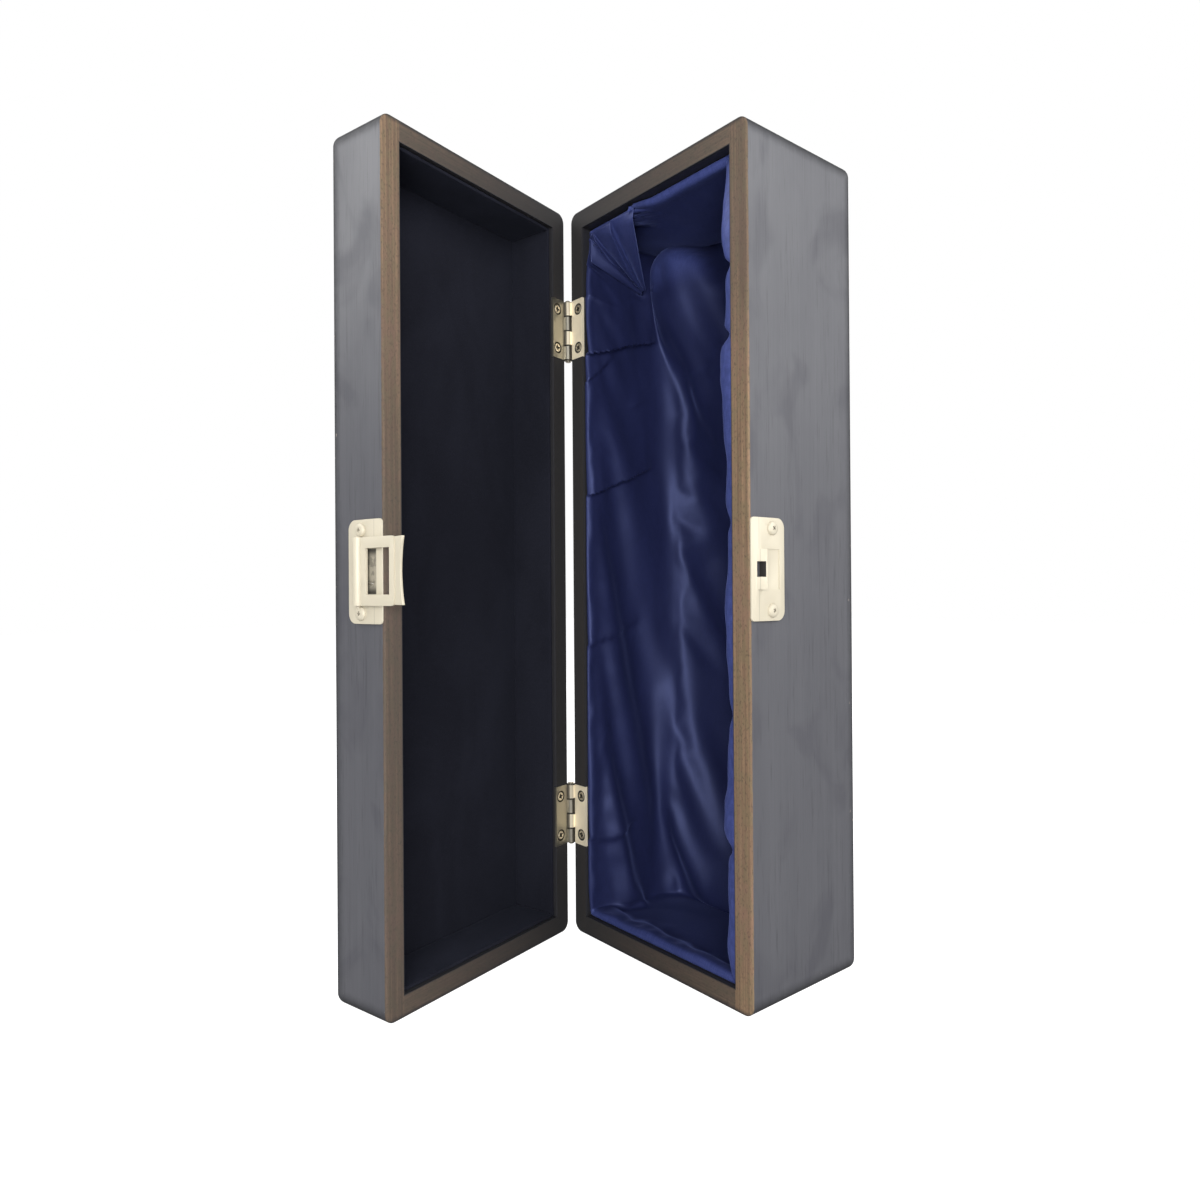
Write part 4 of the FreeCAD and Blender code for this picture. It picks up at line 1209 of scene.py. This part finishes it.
def addWrinkles(points, normals):
    # small pulls in the cloth, finer near the hems
    x, y, z = points.T
    size = wrinkles["size"]
    down = np.maximum(y - hemLine(points), 0)
    near = np.exp(-down / wrinkles["nearHem"])
    swell, fine = (noiseAt(points * stretch + shift)
                   for stretch, shift in (wrinkles["swell"], wrinkles["fine"]))
    deep, start, left = wrinkles["topEnd"]
    calm = np.where((z > inside["high"] - deep) & (x > start), left, 1)
    move = swell * size["swell"] + fine * size["fine"] * near
    move *= smoothStep(*wrinkles["hem"], down) * calm
    # gathers run down from the neck rest
    across, slant, seed, along = wrinkles["pulls"]
    pulls = noiseAt(np.stack([x * across + z * slant, np.full_like(x, seed), z * along], axis=1))
    lower = smoothStep(*wrinkles["gatherLow"], z) * (1 - smoothStep(*wrinkles["gatherHigh"], z))
    move += pulls * size["pulls"] * lower * smoothStep(*wrinkles["onBed"], down)
    # the cloth bags unevenly in the deep corners
    side, across, along = wrinkles["bags"]
    bags = noiseAt(np.stack([np.sign(x) * side, x * across, z * along], axis=1))
    aside = np.hypot(inside["half"] - np.abs(x), inside["back"] - y)
    move += bags * size["bags"] * np.exp(-(aside / wrinkles["corner"]) ** 2)
    return points + normals * move[:, None]


liner = buildLiner()
shapeLiner(liner)
faceInwards(liner)
relaxCloth(liner)
writePoints(liner, keepInside(readPoints(liner)))
applyModifier(liner, "SMOOTH", factor=satinCloth["smooth"], iterations=satinCloth["smoothRounds"][1],
              vertex_group="loose")
applyModifier(liner, "SUBSURF", levels=1, render_levels=1)
wrinkled = addWrinkles(readPoints(liner), readPoints(liner, "normal"))
writePoints(liner, keepInside(pressTucks(wrinkled)))
liner.vertex_groups.clear()
print("satin laid in the tray:", len(liner.data.vertices), "points")


# a fan of pleats gathers the cloth across the top corner by the hinge

satinFan = {
    "apex": (-0.0425, 0.0380, 0.3180),  # across, depth from the rim, height
    "hem": [(-0.0474, 0.0050, 0.3300), (-0.0470, 0.0042, 0.3420), (-0.0440, 0.0036, 0.3436),
            (-0.0295, 0.0032, 0.3442), (-0.0120, 0.0030, 0.3445)],
    "pleats": [0.0, 0.95, 2.02, 3.0, 4.0],  # hem points where a pleat starts
    "stand": [0.0010, 0.0024, 0.0040, 0.0046],
    # painted sheen on each pleat, fading towards the apex
    "turned": [0.10, 0.18, 0.42, 0.50],
    "sheenFade": 0.5,
    "columns": 26,
    "rows": 34,
    "gather": 0.10,
    "fold": 0.88,  # from here on each pleat turns back under the next one
    "back": 0.16,
    "lift": (0.12, 1.6),
    "fade": 0.55,
    "hemFade": (-0.02, 0.10),
    "belly": 0.0022,
    "out": ((0.86, -0.45, -0.2), (0.10, -0.545, -0.832)),  # on the hinge side, and on the rest
    "flat": (0.075, 0.052),
    "smoothRounds": 2,
    "behind": 0.0015,  # how far behind it the lining keeps
    "near": 0.012,
    "aside": (0.0010, 0.0035),
    # where the lining may be pressed back: across, height, past the apex, and the side or the depth
    "region": {"across": -0.004, "height": 0.300, "past": 0.002, "side": -0.038, "depth": 0.028},
}


def buildFan():
    rim = np.array([0, inside["rim"], 0])
    hem, apex = np.array(satinFan["hem"]) + rim, np.array(satinFan["apex"]) + rim
    starts = np.array(satinFan["pleats"])
    pleats = len(starts) - 1
    fan = clothPanel(satinFan["rows"], pleats * satinFan["columns"], (1, 1), (0.5, 0.5, 0), (0, 0, 0))
    fan.name = "satinFan"
    across, along = readPoints(fan)[:, :2].T
    number = np.minimum((across * pleats).astype(int), pleats - 1)
    share = across * pleats - number
    fold = satinFan["fold"]
    rising = share < fold
    forward = np.where(rising, share / fold, 1 - (share - fold) / (1 - fold) * satinFan["back"])
    place = starts[number] + (starts[number + 1] - starts[number]) * forward
    edge = np.stack([np.interp(place, range(len(hem)), hem[:, axis]) for axis in range(3)], axis=1)
    base = edge + (apex - edge) * (1 - satinFan["gather"]) * along[:, None]
    least, power = satinFan["lift"]
    lift = np.where(rising, np.clip(share / fold, 0, 1) ** power, 1 - smoothStep(fold, 1.0, share))
    stand = np.array(satinFan["stand"])[number] * (least + lift) * (1 - along) ** satinFan["fade"]
    stand *= smoothStep(*satinFan["hemFade"], along)
    belly = satinFan["belly"] * np.sin(along * math.pi) * np.sin(np.clip(share, 0, 1) * math.pi)
    base += np.where((place < 1)[:, None], *satinFan["out"]) * (stand + belly)[:, None]
    writePoints(fan, base)
    wide, long = satinFan["flat"]
    storeValues(fan, "flat", np.stack([across * wide, along * long, np.zeros_like(across)], axis=1))
    storeValues(fan, "turned", np.array(satinFan["turned"])[number] * (1 - satinFan["sheenFade"] * along))
    applyModifier(fan, "SMOOTH", factor=satinCloth["smooth"], iterations=satinFan["smoothRounds"])
    writePoints(fan, keepInside(readPoints(fan)))
    return fan


def tuckBehind(points, front):
    # the lining keeps behind the pleats
    places, normals = readPoints(front), readPoints(front, "normal")
    if np.mean(normals[:, 2]) > 0:
        normals = -normals
    tree = KDTree(len(places))
    for index, place in enumerate(places):
        tree.insert(place, index)
    tree.balance()
    x, z, depth = points[:, 0], points[:, 2], points[:, 1] - inside["rim"]
    region = satinFan["region"]
    shallow = (x < region["side"]) | (depth < region["depth"])
    shallow &= depth < satinFan["apex"][1] + region["past"]
    for index in np.nonzero((x < region["across"]) & (z > region["height"]) & shallow)[0]:
        nearest, distance = tree.find(points[index])[1:]
        if distance > satinFan["near"]:
            continue
        offset = points[index] - places[nearest]
        above = offset @ normals[nearest]
        aside = np.linalg.norm(offset - above * normals[nearest])
        share = 1 - smoothStep(*satinFan["aside"], aside)
        points[index] -= normals[nearest] * max(above + satinFan["behind"], 0) * share
    return points


fan = buildFan()
writePoints(liner, keepInside(tuckBehind(readPoints(liner), fan)))
for piece, offset in ((liner, -1), (fan, 0)):
    paint(piece, satin)
    applyModifier(piece, "SOLIDIFY", thickness=satinCloth["thickness"], offset=offset)
    bpy.ops.object.shade_smooth()
    dress(piece, "tray", "blue_satin")
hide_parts("satin_hinge_side", "satin_latch_side", "satin_top_end", "satin_bottom_end", "satin_bed",
            "satin_neck_rest")
print("fan of pleats in the top corner")


# floor, light and camera

sky = {"low": 0.20, "high": 0.30, "top": 0.8, "colour": (0.94, 0.97, 1.0, 1)}
floorLook = {
    "size": 8,
    "level": -0.0003,
    "gloss": {"Base Color": (0.36, 0.36, 0.36, 1), "Roughness": 0.9, "Emission Color": (1, 1, 1, 1)},
    "glow": 0.97,  # the floor is white to the eye, but throws little light up
}
lights = {
    "key": {"place": (0.52, -0.56, 0.25), "size": 0.45, "power": 6.8},
    "right": {"place": (0.80, 0.40, 0.62), "size": 0.8, "power": 8.6},
    "left": {"place": (-0.72, -0.92, 1.00), "size": 0.8, "power": 10.0},
    "back": {"place": (-0.70, 0.85, 0.70), "size": 0.8, "power": 7.0},
}
lightAim = Vector((-0.02, -0.05, 0.17))
cameraView = {
    "place": (0.27040, -0.28450, 0.16749),
    "yaw": 51.079,
    "pitch": 0.200,
    "roll": -0.386,
    "lens": 24.781,
    "sensor": 36,
    "shift": (0.00257, -0.00920),
    "near": 0.01,
}

world = bpy.data.worlds.new("studioSky")
bpy.context.scene.world = world
world.use_nodes = True
skyTree = world.node_tree
skyGlow = skyTree.nodes["Background"]
skyGlow.inputs["Color"].default_value = sky["colour"]
skyPlain = addNode(skyTree, "ShaderNodeBackground", {"Color": (1, 1, 1, 1), "Strength": 1.0})
skyHeight = splitAxes(skyTree, addNode(skyTree, "ShaderNodeTexCoord").outputs["Generated"])[2]
skyRamp = addNode(skyTree, "ShaderNodeMapRange", {
    "From Min": 0.0, "From Max": sky["top"], "To Min": sky["low"], "To Max": sky["high"]})
join(skyTree, skyHeight, skyRamp.inputs["Value"])
join(skyTree, skyRamp.outputs["Result"], skyGlow.inputs["Strength"])
skyMix = addNode(skyTree, "ShaderNodeMixShader")
join(skyTree, addNode(skyTree, "ShaderNodeLightPath").outputs["Is Camera Ray"], skyMix.inputs[0])
join(skyTree, skyGlow.outputs["Background"], skyMix.inputs[1])
join(skyTree, skyPlain.outputs["Background"], skyMix.inputs[2])
join(skyTree, skyMix.outputs["Shader"], skyTree.nodes["World Output"].inputs["Surface"])

deselectAll()
bpy.ops.mesh.primitive_plane_add(size=floorLook["size"], location=(0, 0, floorLook["level"]))
floor = bpy.context.object
floor.name = "studioFloor"
floorPaint, floorTree, floorShader = newMaterial("paleFloor")
setSockets(floorShader, floorLook["gloss"])
floorSeen = addNode(floorTree, "ShaderNodeLightPath").outputs["Is Camera Ray"]
join(floorTree, times(floorTree, floorSeen, floorLook["glow"]), floorShader.inputs["Emission Strength"])
paint(floor, floorPaint)

for label, lamp in lights.items():
    bpy.ops.object.light_add(type="AREA", location=lamp["place"])
    light = bpy.context.object
    light.name = label + "Light"
    light.data.size = lamp["size"]
    light.data.energy = lamp["power"]
    light.rotation_euler = (lightAim - Vector(lamp["place"])).to_track_quat("-Z", "Y").to_euler()

bpy.ops.object.camera_add(location=cameraView["place"])
camera = bpy.context.object
camera.name = "photoCamera"
camera.rotation_euler = (math.radians(90 + cameraView["pitch"]), 0, math.radians(cameraView["yaw"]))
camera.rotation_euler.rotate_axis("Z", math.radians(cameraView["roll"]))
camera.data.sensor_width = cameraView["sensor"]
camera.data.lens = cameraView["lens"]
camera.data.shift_x, camera.data.shift_y = cameraView["shift"]
camera.data.clip_start = cameraView["near"]
bpy.context.scene.camera = camera
bpy.context.scene.view_settings.view_transform = "Standard"
print("floor, light and camera")

bpy.context.view_layer.update()
